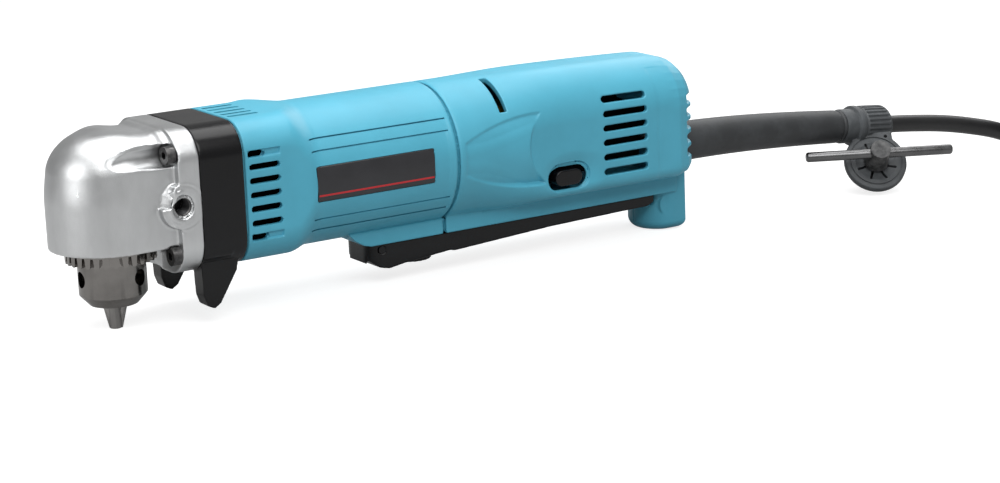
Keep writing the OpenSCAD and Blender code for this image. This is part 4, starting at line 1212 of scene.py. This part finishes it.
@dataclass
class MainsLead:
    """The mains cord with its guard, coil, tie and plug."""

    diameter: float = 7.6
    guard_start: Point = (248.4, 0.0, -13.4)
    guard_end: Point = (344.0, 0.0, -19.0)
    guard_reach: float = 34.0
    guard_rise: float = 3.4
    guard_r: float = 8.4
    guard_tip_r: float = 7.1
    hang: tuple[Pair, ...] = (
        (351.0, -19.7), (358.0, -20.4), (365.0, -21.1), (372.0, -21.8), (380.0, -22.6), (390.0, -23.8),
        (400.0, -25.2), (410.0, -27.0), (420.0, -29.2))
    swing: tuple[Point, ...] = (
        (431.5, 0.0, -32.1), (442.7, 1.8, -35.8), (452.9, 7.1, -39.1), (460.9, 15.2, -41.1),
        (469.6, 24.8, -41.8), (480.1, 31.9, -41.9), (492.2, 36.5, -41.9))
    coil_at: Pair = (505.0, -10.0)
    coil_r: float = 48.0
    coil_base: float = -41.9
    coil_step: float = 9.6
    layer_step: float = 8.2
    layer_turns: float = 1.125
    reverse_turn: float = 0.5
    layers: int = 4
    tail_turn: float = 0.25
    tail_r: float = 32.0
    plug_at: Point = (513.4, -42.0, -4.4)
    plug_square: float = 0.7
    pin_side: float = 9.5
    loop_points: int = 48
    holder: KeyHolder = field(default_factory=KeyHolder)

    @property
    def coil_turns(self) -> float:
        """Returns the coil's turns, from its first point to the tail."""
        return self.layers * self.layer_turns + (self.layers - 1) * self.reverse_turn

    @property
    def tail_z(self) -> float:
        """Returns the height of the tail on top of the coil."""
        return self.coil_base + self.layers * self.layer_step

    def coil_point(self, turn: float) -> Vector:
        """Returns the cord's middle after a number of turns.

        Args:
            turn: Turns from the coil's start.

        Returns:
            The point in metres.
        """
        span = self.layer_turns + self.reverse_turn
        layer = min(self.layers - 1, int(turn // span))
        part = turn - layer * span
        run = self.coil_step * min(part, self.layer_turns)
        inner = self.coil_r - self.coil_step * self.layer_turns
        radius = self.coil_r - run if layer % 2 == 0 else inner + run
        rise = self.reverse_turn if layer < self.layers - 1 else self.tail_turn
        climb = smooth((part - self.layer_turns) / rise)
        angle = math.radians(90.0 - 360.0 * turn)
        return place(self.coil_at[0] + radius * math.cos(angle), self.coil_at[1] + radius * math.sin(angle),
                     self.coil_base + self.layer_step * (layer + climb))

    def route(self) -> list[Vector]:
        """Lays the cord from the guard to the plug.

        Returns:
            Its middle line, in metres.
        """
        knots = [place(*self.guard_end)] + [place(x, 0.0, z) for x, z in self.hang]
        knots += [place(*p) for p in self.swing]
        knots.append(self.coil_point(0.0))
        line = catmull(knots, 3)
        count = round((self.coil_turns + self.tail_turn) * self.loop_points)
        line += [self.coil_point(k / self.loop_points) for k in range(1, count + 1)]
        steps = 12
        for k in range(1, steps + 1):
            a = math.pi / 2 * k / steps
            line.append(place(self.coil_at[0] + self.coil_r - self.tail_r * (1 - math.cos(a)),
                              self.coil_at[1] - self.tail_r * math.sin(a),
                              mix(self.tail_z, self.plug_at[2], smooth(k / steps))))
        line.append(place(*self.plug_at))
        return line

    def guard_point(self, t: float) -> Vector:
        """Returns a point of the guard's middle line.

        Args:
            t: The share of its way, from 0 to 1.

        Returns:
            The point in the drill's millimetres.
        """
        a, d = Vector(self.guard_start), Vector(self.guard_end)
        b = a + Vector((self.guard_reach, 0.0, 0.0))
        c = d - Vector((self.guard_reach, 0.0, -self.guard_rise))
        return (1 - t) ** 3 * a + 3 * t * (1 - t) ** 2 * b + 3 * t * t * (1 - t) * c + t ** 3 * d

    def make_guard(self, shop: Workshop) -> Piece:
        """Makes the tapered bend guard.

        Args:
            shop: The mesh tools.

        Returns:
            The guard, with a rounded lip at its free end.
        """
        lip = [(0.962, 0.0), (0.97, -0.25), (0.972, -0.5), (0.976, -0.5), (0.978, -0.2), (0.984, 0.0),
               (0.992, -0.12), (0.997, -0.5), (1.0, -1.2)]
        rings = []
        for t, dip in [(k / 40, 0.0) for k in range(39)] + lip:
            here = self.guard_point(t)
            ahead = (self.guard_point(min(1.0, t + 0.01)) - self.guard_point(max(0.0, t - 0.01))).normalized()
            up = ahead.cross(Vector((0.0, 1.0, 0.0))).normalized()
            r = mix(self.guard_r, self.guard_tip_r, t) + dip
            ring = (here + up * (r * math.cos(a)) + Vector((0.0, r * math.sin(a), 0.0)) for a in circle(48))
            rings.append([place(*p) for p in ring])
        guard = shop.loft("bend_guard", rings)
        shop.shade(guard, 40.0)
        return shop.seat(guard, "housing", "rubber", "rubber", "cord_guard")

    def make_plug(self, shop: Workshop) -> list[Piece]:
        """Makes the plug.

        Args:
            shop: The mesh tools.

        Returns:
            Its body and its two pins.
        """
        spot = Matrix.Translation(self.plug_at) @ Matrix.Rotation(-math.pi / 2, 4, "Y")
        shape = ((0.0, 5.2, 5.2), (1.0, 6.0, 6.0), (4.0, 6.1, 6.1), (4.6, 5.3, 5.3), (5.8, 5.3, 5.3),
                 (6.4, 6.2, 6.2), (9.6, 6.3, 6.3), (11.0, 9.0, 7.2), (14.0, 13.6, 8.2), (19.0, 16.6, 8.7),
                 (26.0, 17.4, 8.8), (43.5, 17.4, 8.8), (45.2, 17.0, 8.4), (46.0, 15.8, 7.4))
        rings = []
        for along, wide, tall in shape:
            ring = []
            for a in circle(56):
                u, v = (math.copysign(abs(w) ** self.plug_square, w) for w in (math.cos(a), math.sin(a)))
                ring.append(placed(spot, tall * u, wide * v, along))
            rings.append(ring)
        body = shop.loft("mains_plug", rings)
        shop.shade(body, 40.0)
        shop.seat(body, "housing", "rubber", "rubber", "plug_body")
        pin = [(45.5, 2.4), (63.4, 2.4), (64.4, 1.9), (65.0, 0.9)]
        pins, other = (shop.turned(name, pin, spot @ Matrix.Translation((0.0, side, 0.0)), 24)
                       for name, side in (("plug_pin_pair", self.pin_side), ("other_pin", -self.pin_side)))
        shop.add(pins, other)
        shop.shade(pins, 40.0)
        shop.seat(pins, "housing", "pin_metal", "pin_metal", "plug_pins")
        return [body, pins]

    def build(self, shop: Workshop) -> None:
        """Args:
            shop: The mesh tools.
        """
        line = self.route()
        data = bpy.data.curves.new("mains_cord", "CURVE")
        data.dimensions = "3D"
        data.bevel_depth = 1.0
        data.bevel_resolution = 4
        data.use_fill_caps = True
        spline = data.splines.new("POLY")
        spline.points.add(len(line) - 1)
        for knot, p in zip(spline.points, line):
            knot.co = (*p, 1.0)
            knot.radius = self.diameter * MM / 2
        spline.use_smooth = True
        cord = linked("mains_cord", data)
        shop.seat(cord, "housing", "cord", "cord", "cord_lead", "cord_coil")
        tie = shop.copy("coil_tie", "hook_tie")
        shop.bevel(tie, 0.5, 2)
        shop.seat(tie, "housing", "rubber", "holder_rubber", "coil_tie")
        carried = [self.make_guard(shop), tie, *self.make_plug(shop), *self.holder.build(shop)]
        length = sum((b - a).length for a, b in zip(line, line[1:]))
        place(*self.guard_end)
        LOG.info("mains cord: %.3f m free", length)


def span(v: float, low: float, high: float, soft: float) -> float:
    """Returns 1 between two bounds and 0 outside, with soft edges.

    Args:
        v: The value.
        low: The lower bound.
        high: The upper bound.
        soft: The width of an edge.

    Returns:
        The share from 0 to 1.
    """
    return smooth((v - low) / soft + 0.5) * smooth((high - v) / soft + 0.5)


def outward(p: Vector, n: Vector) -> bool:
    """Tells whether a surface point faces away from the motor axis."""
    return p.y * n.y + p.z * n.z > 0.0


@dataclass(frozen=True)
class Section:
    """A rounded rectangle across an axis, with its own corner radii above and below."""

    half: float
    top: float
    drop: float
    upper: float
    lower: float

    def gap(self, across: float, z: float) -> float:
        """Returns how far a point lies outside the section.

        Args:
            across: The point's distance from the middle plane.
            z: Its height above the axis.

        Returns:
            The distance in millimetres, negative inside.
        """
        r, reach, height = (self.upper, self.top, z) if z >= 0.0 else (self.lower, self.drop, -z)
        u, v = across - self.half + r, height - reach + r
        return math.hypot(max(u, 0.0), max(v, 0.0)) + min(max(u, v), 0.0) - r

    def fit(self, p: Vector) -> float:
        """Returns the small step that brings a shell's facet to the true section."""
        off = self.gap(abs(p.y), p.z)
        return off * smooth((off + 0.6) / 0.3) if off < 0.4 else 0.0

    def toward(self, other: "Section", t: float) -> "Section":
        """Returns a section between this one and another.

        Args:
            other: The other section.
            t: The share of the way to it.

        Returns:
            The section in between.
        """
        pairs = zip((self.half, self.top, self.drop, self.upper, self.lower),
                    (other.half, other.top, other.drop, other.upper, other.lower))
        return Section(*(mix(a, b, t) for a, b in pairs))


CROWN_DROP = 1.8
SQUARE = Section(26.4, 29.0, 26.6, 13.0, 13.0)
ROUND = Section(27.5, 27.5, 27.5, 27.0, 27.0)
GRIP = Section(25.0, 27.6, 22.5, 20.0, 5.0)


def lowered(p: Vector) -> Vector:
    """Lowers the top of the casings over the gears to a little below the motor's round.

    Args:
        p: A point in the drill's millimetres.

    Returns:
        Where the point goes.
    """
    share = smooth((p.x + 2.0) / 14.0) * smooth((76.0 - p.x) / 18.0)
    return Vector((p.x, p.y, p.z - CROWN_DROP * share * max(0.0, p.z / SQUARE.top) ** 2))


@dataclass
class HeadCasting:
    """The cast angle head with its screws."""

    hole_at: float = 18.0
    hole_r: float = 3.4
    chamfer: float = 1.3
    boss_r: float = 8.2
    rim: float = 1.9
    rim_depth: float = 0.6
    proud: float = 0.4
    face: float = 25.6
    hole_depth: float = 7.8
    bore_len: float = 7.6
    bore_wall: float = 0.25
    half_pitch: float = 0.3
    flights: int = 25
    thread_in: Pair = (0.45, 0.05)
    dome: Section = Section(22.5, 27.4, 30.0, 14.0, 2.0)
    nose_lean: float = 0.86
    nose_round: float = 0.08
    dome_end: float = 15.5
    voxel: float = 0.42

    def depth(self, p: Vector, n: Vector) -> float:
        """Returns how far the dome and the side bosses are pressed in.

        Args:
            p: A surface point in the drill's millimetres.
            n: Its normal.

        Returns:
            The depth in millimetres.
        """
        if p.x < self.dome_end and p.z > 0.0:
            reach = math.hypot(p.x, p.y) if p.x < 0.0 else abs(p.y)
            return max(0.0, self.dome.gap(reach, p.z)) * smooth((self.dome_end - p.x) / 3.0)
        if abs(p.y) < self.face or abs(n.y) < 0.6:
            return 0.0
        r = math.hypot(p.x - self.hole_at, p.z)
        sunk = max(0.0, self.hole_r + self.chamfer - r) * 0.9
        front = smooth((self.hole_at + 1.0 - p.x) / 4.0)
        rim = self.rim_depth * front * span(r, self.boss_r - self.rim, self.boss_r + 1.5, 0.4)
        return sunk + rim + self.proud * (1.0 - front) * smooth((self.boss_r + 0.5 - r) / 0.6)

    def rounded(self, p: Vector) -> Vector:
        """Draws the upper corner of the nose in, with its cavity, and lowers the casing's top.

        Args:
            p: A point in the drill's millimetres.

        Returns:
            Where the point goes.
        """
        lean = math.atan2(p.z, math.hypot(min(p.x, 0.0), p.y)) - self.nose_lean
        if p.z > 0.0 and abs(lean) < math.pi / 4:
            share = 1.0 - self.nose_round * math.cos(2.0 * lean) ** 2 * smooth((4.0 - p.x) / 14.0)
            p = Vector((min(p.x, 0.0) * share + max(p.x, 0.0), p.y * share, p.z * share))
        return lowered(p)

    def thread(self, shop: Workshop, side: Side) -> Piece:
        """Makes the tapped bore on one side, whose dark finish is painted shade inside the hole.

        Args:
            shop: The mesh tools.
            side: The side of the head.

        Returns:
            The bore's wall, with thread crests.
        """
        turn = Matrix.Rotation(-side.value * math.pi / 2, 4, "X")
        spot = Matrix.Translation((self.hole_at, side.value * (self.face - self.hole_depth), 0.0)) @ turn
        profile = [(0.0, 0.4)]
        steps = range(1, self.flights + 1)
        profile += [(self.half_pitch * k, self.hole_r - self.thread_in[k % 2]) for k in steps]
        profile += [(x, self.hole_r + self.bore_wall) for x in (self.bore_len, 0.0)]
        bore = shop.turned(f"painted_shade_bore_{side.value + 2}", profile, spot, 36, closed=True)
        shop.shade(bore, 30.0)
        return bore

    def build(self, shop: Workshop) -> None:
        """Makes the softened casting and its four screws.

        Args:
            shop: The mesh tools.
        """
        head = shop.copy("angle_head", "head_casting")
        shop.soften(head, self.voxel, 7)
        shop.press(head, self.depth)
        shop.reshape(head, self.rounded)
        shop.thin_out(head, 0.4)
        shop.seat(head, "housing", "cast_head", "cast_head", "angle_head")
        # The bores take the screws' dark oxide as painted shade inside the tapped holes.
        for side in Side:
            shop.seat(self.thread(shop, side), "housing", "dark_screw", "dark_screw")
        screws = shop.copy("head_screws", "head_socket_screws")
        shop.reshape(screws, lowered)
        shop.bevel(screws, 0.3, 2, 40.0)
        shop.shade(screws, 40.0)
        shop.seat(screws, "housing", "dark_screw", "dark_screw", "head_screws")


@dataclass
class MotorHousing:
    """The black gear band, the blue motor housing and its plate."""

    start: float = 43.0
    seam: float = 134.0
    lip: float = 0.9
    terrace_x: Pair = (69.0, 131.7)
    outer_z: Pair = (-18.3, 16.6)
    inner_z: Pair = (-13.7, 12.3)
    inner_inset: Pair = (2.0, 1.6)
    step: float = 0.2
    step_edge: float = 0.35
    line: float = 0.55
    line_inset: Pair = (2.5, 0.6)
    line_reach: float = 6.0
    blend: Pair = (63.0, 13.0)
    vent_x: Pair = (45.0, 58.0)
    vent_z: float = 15.9
    vent_w: float = 2.6
    vent_depth: float = 0.9
    side_from: float = 12.0
    voxel: float = 0.42

    def depth(self, p: Vector, n: Vector) -> float:
        """Returns how far the housing is pressed in by its terraces, blind vents and seam.

        Args:
            p: A surface point in the drill's millimetres.
            n: Its normal.

        Returns:
            The depth in millimetres.
        """
        if not outward(p, n):
            return 0.0
        edge = SQUARE.toward(ROUND, smooth((p.x - self.blend[0]) / self.blend[1])).fit(p)
        edge += self.lip * (smooth((p.x - self.seam + 1.3) / 1.3) + smooth((self.start + 1.0 - p.x) / 1.0))
        if abs(p.y) < self.side_from:
            return edge
        x0, x1 = self.terrace_x
        fade = smooth((p.x - x0) / 5.0)
        front, rear = self.inner_inset
        low = span(p.z, *self.outer_z, self.step_edge) * span(p.x, x0, x1, 0.5)
        high = span(p.z, *self.inner_z, self.step_edge) * span(p.x, x0 + front, x1 - rear, 0.5)
        near, far = self.vent_z - self.vent_w / 2, self.vent_z + self.vent_w / 2
        blind = span(p.x, *self.vent_x, 0.6) * span(abs(p.z), near, far, 0.5)
        return edge + self.step * fade * (low + high) + self.vent_depth * blind

    def lines(self, shop: Workshop) -> list[Piece]:
        """Makes the cutters of the fine lines beside the plate.

        Args:
            shop: The mesh tools.

        Returns:
            The cutters of both sides.
        """
        cutters = []
        start, end = self.terrace_x[0] + self.line_inset[0], self.terrace_x[1] - self.line_inset[1]
        for z in (*self.outer_z, *self.inner_z):
            bed = math.sqrt(ROUND.half ** 2 - z ** 2) - self.step - self.line
            for side in Side:
                low, high = sorted((side.value * bed, side.value * (bed + self.line_reach)))
                corners = (start, low, z - self.line / 2), (end, high, z + self.line / 2)
                cutters.append(shop.block("line", *corners))
        return cutters

    def build(self, shop: Workshop) -> None:
        """Makes the band, the housing and the bare plate.

        Args:
            shop: The mesh tools.
        """
        band = shop.copy("gear_band", "black_gear_band")
        shop.soften(band, self.voxel, 5)
        shop.reshape(band, lowered)
        shop.thin_out(band, 0.35)
        shop.seat(band, "housing", "black_plastic", "black_plastic", "gear_band")
        shell = shop.copy("motor_housing", "motor_shell")
        shop.soften(shell, self.voxel, 3)
        shop.press(shell, self.depth)
        shop.reshape(shell, lowered)
        shop.thin_out(shell, 0.5)
        shop.cut(shell, *self.lines(shop))
        shop.shade(shell, 40.0)
        shop.seat(shell, "housing", "blue_shell", "blue_shell", "motor_housing")
        plate = shop.copy("name_plate", "bare_name_plate")
        shop.bevel(plate, 0.25, 2)
        shop.shade(plate, 40.0)
        shop.seat(plate, "housing", "name_plate", "name_plate", "name_plate")


@dataclass
class Handle:
    """The two halves of the handle."""

    seam: float = 134.0
    lip: float = 0.9
    pad_r: float = 27.05
    pad_x: Pair = (137.5, 167.0)
    pad_bow: float = 0.035
    pad_len: float = 33.0
    pad_left: float = 6.3
    pad_top: float = 13.4
    pad_low: float = -14.5
    dish_at: Pair = (187.5, -12.6)
    dish_size: Pair = (13.0, 7.4)
    dish_depth: float = 1.5
    crease_x: Pair = (227.5, 239.5)
    crease_depth: float = 0.15
    side_from: float = 16.0
    foot_x: float = 242.5
    foot_half: float = 9.5
    foot_round: float = 4.0
    button_at: Pair = (185.4, -14.4)
    hole_size: Pair = (4.6, 4.5)
    slot_x: Pair = (155.5, 159.1)
    slot_turn: Pair = (16.5, 56.5)
    slot_r: Pair = (22.0, 32.0)
    hole_y: Pair = (-32.0, -20.0)
    notches: int = 5
    notch_x: Pair = (244.6, 252.5)
    notch_y: Pair = (15.5, 27.0)
    notch_z: float = 8.0
    notch_pitch: float = 5.6
    notch_w: float = 3.6
    sag: tuple[float, float, float, float] = (150.0, 243.0, 2.0, 27.6)
    vent_shift: float = 1.3
    vent_x: Pair = (192.0, 246.0)
    screen_x: float = 238.4
    screen_t: float = 1.2
    screen_half: float = 22.0
    screen_rise: float = 16.5
    screen_z: Pair = (-12.0, 7.0)
    mid_walls: tuple[tuple[Pair, Pair], ...] = (
        ((189.0, 239.0), (-19.0, 21.0)), ((238.9, 248.0), (-15.0, 12.0)))
    taper: tuple[float, float, float] = (140.0, 42.0, 238.0)
    voxel: float = 0.42

    def pad(self, p: Vector) -> float:
        """Returns 1 on the round pad over a brush and 0 outside it, with crisp edges.

        Args:
            p: A surface point in the drill's millimetres.

        Returns:
            The share from 0 to 1.
        """
        end = self.pad_x[1] + self.pad_bow * p.z * p.z
        t = min(1.0, max(0.0, (p.x - self.pad_x[0]) / self.pad_len))
        bow = 1.0 - (1.0 - t) ** 2
        top, low = mix(self.pad_left, self.pad_top, bow), mix(-self.pad_left, self.pad_low, bow)
        return span(p.z, low, top, 1.2) * span(p.x, self.pad_x[0], end, 1.4)

    def depth(self, p: Vector, n: Vector) -> float:
        """Returns how far the handle is pressed in by its seam, pads, dish and rear crease.

        Args:
            p: A surface point in the drill's millimetres.
            n: Its normal.

        Returns:
            The depth in millimetres.
        """
        if not outward(p, n):
            return 0.0
        section = ROUND.toward(GRIP, smooth((p.x - self.taper[0]) / self.taper[1]))
        sunk = self.lip * smooth((self.seam + 1.3 - p.x) / 1.3)
        sunk += section.fit(p) * smooth((self.taper[2] - p.x) / 4.0)
        if abs(p.y) < self.side_from or abs(n.y) < 0.3:
            return sunk
        sunk += (math.hypot(p.y, p.z) - self.pad_r) * self.pad(p)
        if p.y < 0.0:
            u, v = (p.x - self.dish_at[0]) / self.dish_size[0], (p.z - self.dish_at[1]) / self.dish_size[1]
            sunk += self.dish_depth * smooth(1.25 - math.hypot(u, v))
        start, end = self.crease_x
        return sunk + self.crease_depth * smooth((p.x - start) / 0.8) * smooth((end - p.x) / 9.0)

    def settle(self, p: Vector) -> Vector:
        """Lowers the top towards the tail, shifts the rear vents and rounds the rest foot's lower edge.

        Args:
            p: A point in the drill's millimetres.

        Returns:
            Where the point goes.
        """
        start, end, sag, crown = self.sag
        t = min(1.0, max(0.0, (p.x - start) / (end - start)))
        low, high = self.vent_x
        shift = self.vent_shift * smooth((p.x - low) / 12.0) * smooth((high - p.x) / 14.0)
        p = Vector((p.x + shift, p.y, p.z - sag * t * t * max(0.0, p.z / crown)))
        up = p.z + AXIS_HEIGHT
        if up > self.foot_round:
            return p
        away = self.foot_round - up
        inset = self.foot_round - math.sqrt(max(0.0, self.foot_round ** 2 - away ** 2))
        share = 1.0 - inset / self.foot_half
        return Vector((mix(self.foot_x, p.x, share), p.y * share, p.z))

    def button_hole(self, shop: Workshop) -> Piece:
        """Makes the cutter of the dark opening round the lock button.

        Args:
            shop: The mesh tools.

        Returns:
            The cutter, with round ends.
        """
        x, z = self.button_at
        straight, r = self.hole_size
        outer, inner = self.hole_y
        outline = []
        for a in circle(32):
            side = straight if math.cos(a) >= 0.0 else -straight
            outline.append(place(x + side + r * math.cos(a), outer, z + r * math.sin(a)))
        return shop.prism("button_hole", outline, Vector((0.0, (inner - outer) * MM, 0.0)))

    def openings(self, shop: Workshop, side: Side) -> list[Piece]:
        """Returns the cutters of the tail's notches and, on the left, of the arc slot and the button's hole.

        Args:
            shop: The mesh tools.
            side: The half's side.

        Returns:
            The cutters.
        """
        tools = []
        (x0, x1), (low, high) = self.notch_x, sorted(side.value * y for y in self.notch_y)
        for k in range(self.notches):
            z = self.notch_z - self.notch_pitch * k
            tools.append(shop.block("notch", (x0, low, z), (x1, high, z + self.notch_w)))
        if side is Side.LEFT:
            (x0, x1), (inner, outer) = self.slot_x, self.slot_r
            bend = [math.radians(90.0 + mix(*self.slot_turn, k / 8)) for k in range(9)]
            line = [(inner, a) for a in bend] + [(outer, a) for a in reversed(bend)]
            outline = [place(x0, r * math.cos(a), r * math.sin(a)) for r, a in line]
            tools.append(self.button_hole(shop))
            tools.append(shop.prism("arc_slot", outline, Vector(((x1 - x0) * MM, 0.0, 0.0))))
        return tools

    def screen(self, shop: Workshop) -> Piece:
        """Makes the dark walls that keep light from showing through the tail's openings.

        Args:
            shop: The mesh tools.

        Returns:
            A cross wall with a middle wall before it.
        """
        x, half, t, (low, mid) = self.screen_x, self.screen_half, self.screen_t, self.screen_z
        arc = [math.pi * k / 24 for k in range(25)]
        outline = [place(x, half * math.cos(a), mid + self.screen_rise * math.sin(a)) for a in arc]
        outline += [place(x, -half, low), place(x, half, low)]
        wall = shop.prism("rear_screen", outline, Vector((t * MM, 0.0, 0.0)))
        for (start, end), (base, top) in self.mid_walls:
            shop.add(wall, shop.block("mid_screen", (start, -t / 2, base), (end, t / 2, top)))
        return wall

    def build(self, shop: Workshop) -> None:
        """Makes both halves and their screws.

        Args:
            shop: The mesh tools.
        """
        for side in Side:
            name = side.name.lower()
            half = shop.copy(f"handle_{name}", f"handle_shell_{name}")
            shop.cut(half, *self.openings(shop, side))
            shop.soften(half, self.voxel, 3)
            shop.press(half, self.depth)
            shop.reshape(half, self.settle)
            shop.thin_out(half, 0.45)
            shop.seat(half, "housing", "blue_shell", "blue_shell", f"handle_{name}")
        shop.seat(self.screen(shop), "housing", "black_plastic", "black_plastic")
        screws = shop.copy("handle_screws", "handle_cross_screws")
        shop.shade(screws, 40.0)
        shop.seat(screws, "housing", "dark_screw", "dark_screw", "handle_screws")


@dataclass
class SwitchGear:
    """The paddle lever, its speed dial and the lock button."""

    front: float = 102.4
    rear: float = 236.0
    half: float = 11.4
    nose_r: float = 6.5
    slot_half: float = 6.5
    top: float = -30.9
    slot_low: float = -39.0
    button_at: Pair = (185.8, -14.2)
    button_share: float = 0.74
    dial_x: float = 126.5
    dial_share: float = 0.955
    button_sunk: float = 0.5
    voxel: float = 0.4

    def nose(self, shop: Workshop) -> Piece:
        """Makes the prism that rounds the lever's front corners in plan.

        Args:
            shop: The mesh tools.

        Returns:
            The prism, which reaches past the lever elsewhere.
        """
        back, wide = self.rear + 5.0, self.half + 1.0
        corner = [(self.front + self.nose_r * (1 - math.sin(a)), self.half - self.nose_r * (1 - math.cos(a)))
                  for a in (math.pi / 2 * k / 8 for k in range(9))]
        outline = [(back, -wide), (back, wide), (corner[0][0], wide)]
        outline += corner + [(x, -y) for x, y in reversed(corner)] + [(corner[0][0], -wide)]
        base = [place(x, y, -60.0) for x, y in outline]
        return shop.prism("lever_plan", base, Vector((0.0, 0.0, 60.0 * MM)))

    def ease(self, p: Vector) -> Vector:
        """Returns a point of the speed wheel drawn in, so that its ribs clear the pocket as it turns."""
        return Vector((mix(self.dial_x, p.x, self.dial_share), p.y * self.dial_share, p.z))

    def slim(self, p: Vector) -> Vector:
        """Returns a point of the lock button drawn in, so that its opening shows round it."""
        (x, z), share = self.button_at, self.button_share
        return Vector((mix(x, p.x, share), p.y + self.button_sunk, mix(z, p.z, share)))

    def build(self, shop: Workshop) -> None:
        """Makes the softened lever, dial and button.

        Args:
            shop: The mesh tools.
        """
        lever = shop.copy("switch_lever", "paddle_lever")
        low, high = (self.front, -self.slot_half, self.slot_low), (self.front + 0.7, self.slot_half, self.top)
        shop.add(lever, shop.block("slot_front", low, high))
        shop.combine(lever, [self.nose(shop)], Join.TRIM)
        dial = shop.copy("speed_dial", "speed_wheel")
        button = shop.copy("lock_button", "lock_on_button")
        moulded = ((lever, "switch_lever", "lever", 6, None), (dial, "speed_dial", "dial", 2, self.ease),
                   (button, "lock_button", "lock", 5, self.slim))
        for piece, node, body, passes, move in moulded:
            shop.soften(piece, self.voxel, passes)
            if move:
                shop.reshape(piece, move)
            shop.thin_out(piece, 0.4)
            shop.seat(piece, body, "black_plastic", "black_plastic", node)


@dataclass
class Chuck:
    """The keyed three-jaw chuck."""

    edge: float = 0.3
    teeth: int = 30
    sleeve_low: float = -21.0
    tooth_h: float = 3.8
    gap_half: Pair = (1.05, 0.5)
    tooth_r: Pair = (13.9, 18.5)

    def gaps(self, shop: Workshop) -> Piece:
        """Makes the cutter between the sleeve's teeth.

        Args:
            shop: The mesh tools.

        Returns:
            The cutter, with each gap wider below than above.
        """
        points: list[Vector] = []
        faces: list[tuple[int, ...]] = []
        low, high = self.sleeve_low - 1.0, self.sleeve_low + self.tooth_h
        for k in range(self.teeth):
            turn = Matrix.Rotation(2 * math.pi * (k + 0.5) / self.teeth, 4, "Z")
            start = len(points)
            for z, half in ((low, self.gap_half[0]), (high, self.gap_half[1])):
                corners = ((r, side * half) for r, side in zip(self.tooth_r * 2, (-1, -1, 1, 1)))
                points += [placed(turn, x, y, z) for x, y in corners]
            sides = ((0, 1, 3, 2), (4, 5, 7, 6), (0, 1, 5, 4), (1, 3, 7, 5), (3, 2, 6, 7), (2, 0, 4, 6))
            faces += [tuple(start + i for i in face) for face in sides]
        return shop.solid("tooth_gaps", points, faces)

    def build(self, shop: Workshop) -> None:
        """Makes the chuck's turned pieces with broken edges.

        Args:
            shop: The mesh tools.
        """
        turned = (("chuck_body", "chuck_barrel", "spindle", "chuck_steel"),
                  ("chuck_sleeve", "toothed_sleeve", "chuck_sleeve", "chuck_steel"),
                  ("jaw_1", "jaw_tip_1", "jaw_1", "jaw_steel"), ("jaw_2", "jaw_tip_2", "jaw_2", "jaw_steel"),
                  ("jaw_3", "jaw_tip_3", "jaw_3", "jaw_steel"))
        for node, name, body, finish in turned:
            piece = shop.copy(node, name)
            if node == "chuck_sleeve":
                shop.cut(piece, self.gaps(shop))
            shop.bevel(piece, self.edge, 2, 40.0)
            shop.shade(piece, 30.0)
            shop.seat(piece, body, "chuck_steel", finish, node)


NODE_FINISHES: dict[str, tuple[str, ...]] = {
    "blue_shell": ("motor_housing", "handle_left", "handle_right"),
    "cast_head": ("angle_head",),
    "black_plastic": ("gear_band", "lever_pin", "switch_lever", "speed_dial", "lock_button", "cooling_fan",
                      "fan_baffle", "switch_body", "cord_clamp", "brush_holders"),
    "name_plate": ("name_plate",),
    "dark_screw": ("head_screws", "handle_screws"),
    "steel": ("spindle", "spindle_bearing_outer", "spindle_bearing_inner", "bevel_gear", "bevel_pinion",
              "intermediate_shaft", "spur_gear", "intermediate_bearing_outer", "intermediate_bearing_inner",
              "armature_shaft", "front_bearing_outer", "front_bearing_inner", "rear_bearing_outer",
              "rear_bearing_inner", "bearing_balls"),
    "chuck_steel": ("chuck_body", "chuck_sleeve", "chuck_nut"),
    "jaw_steel": ("jaw_1", "jaw_2", "jaw_3"),
    "lamination": ("armature_core", "field_core"),
    "copper": ("armature_windings", "field_coils", "commutator"),
    "bronze": ("spindle_bush", "intermediate_bush", "brush_springs"),
    "carbon": ("carbon_brushes",),
    "red_plastic": ("switch_plunger",),
    "film": ("capacitor",),
    "rubber": ("cord_guard",),
    "holder_rubber": ("key_holder",),
    "cord": ("cord_lead", "cord_coil", "plug_body", "internal_leads", "coil_tie"),
    "pin_metal": ("plug_pins",),
    "key_steel": ("chuck_key",),
    "bar_steel": ("key_bar",),
}


def dress_nodes(shop: Workshop) -> None:
    """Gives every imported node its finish.

    Args:
        shop: The mesh tools.
    """
    for finish, names in NODE_FINISHES.items():
        for name in names:
            shop.palette.on(shop.nodes[name], finish)


def main() -> None:
    """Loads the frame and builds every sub-assembly."""
    logging.basicConfig(level=logging.INFO, format="%(message)s")
    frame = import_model()
    Studio().build()
    shop = Workshop(Palette(), frame["nodes"])
    dress_nodes(shop)
    for assembly in (HeadCasting(), MotorHousing(), Handle(), SwitchGear(), Chuck(), MainsLead()):
        assembly.build(shop)
    bpy.context.view_layer.update()


if __name__ == "__main__":
    main()
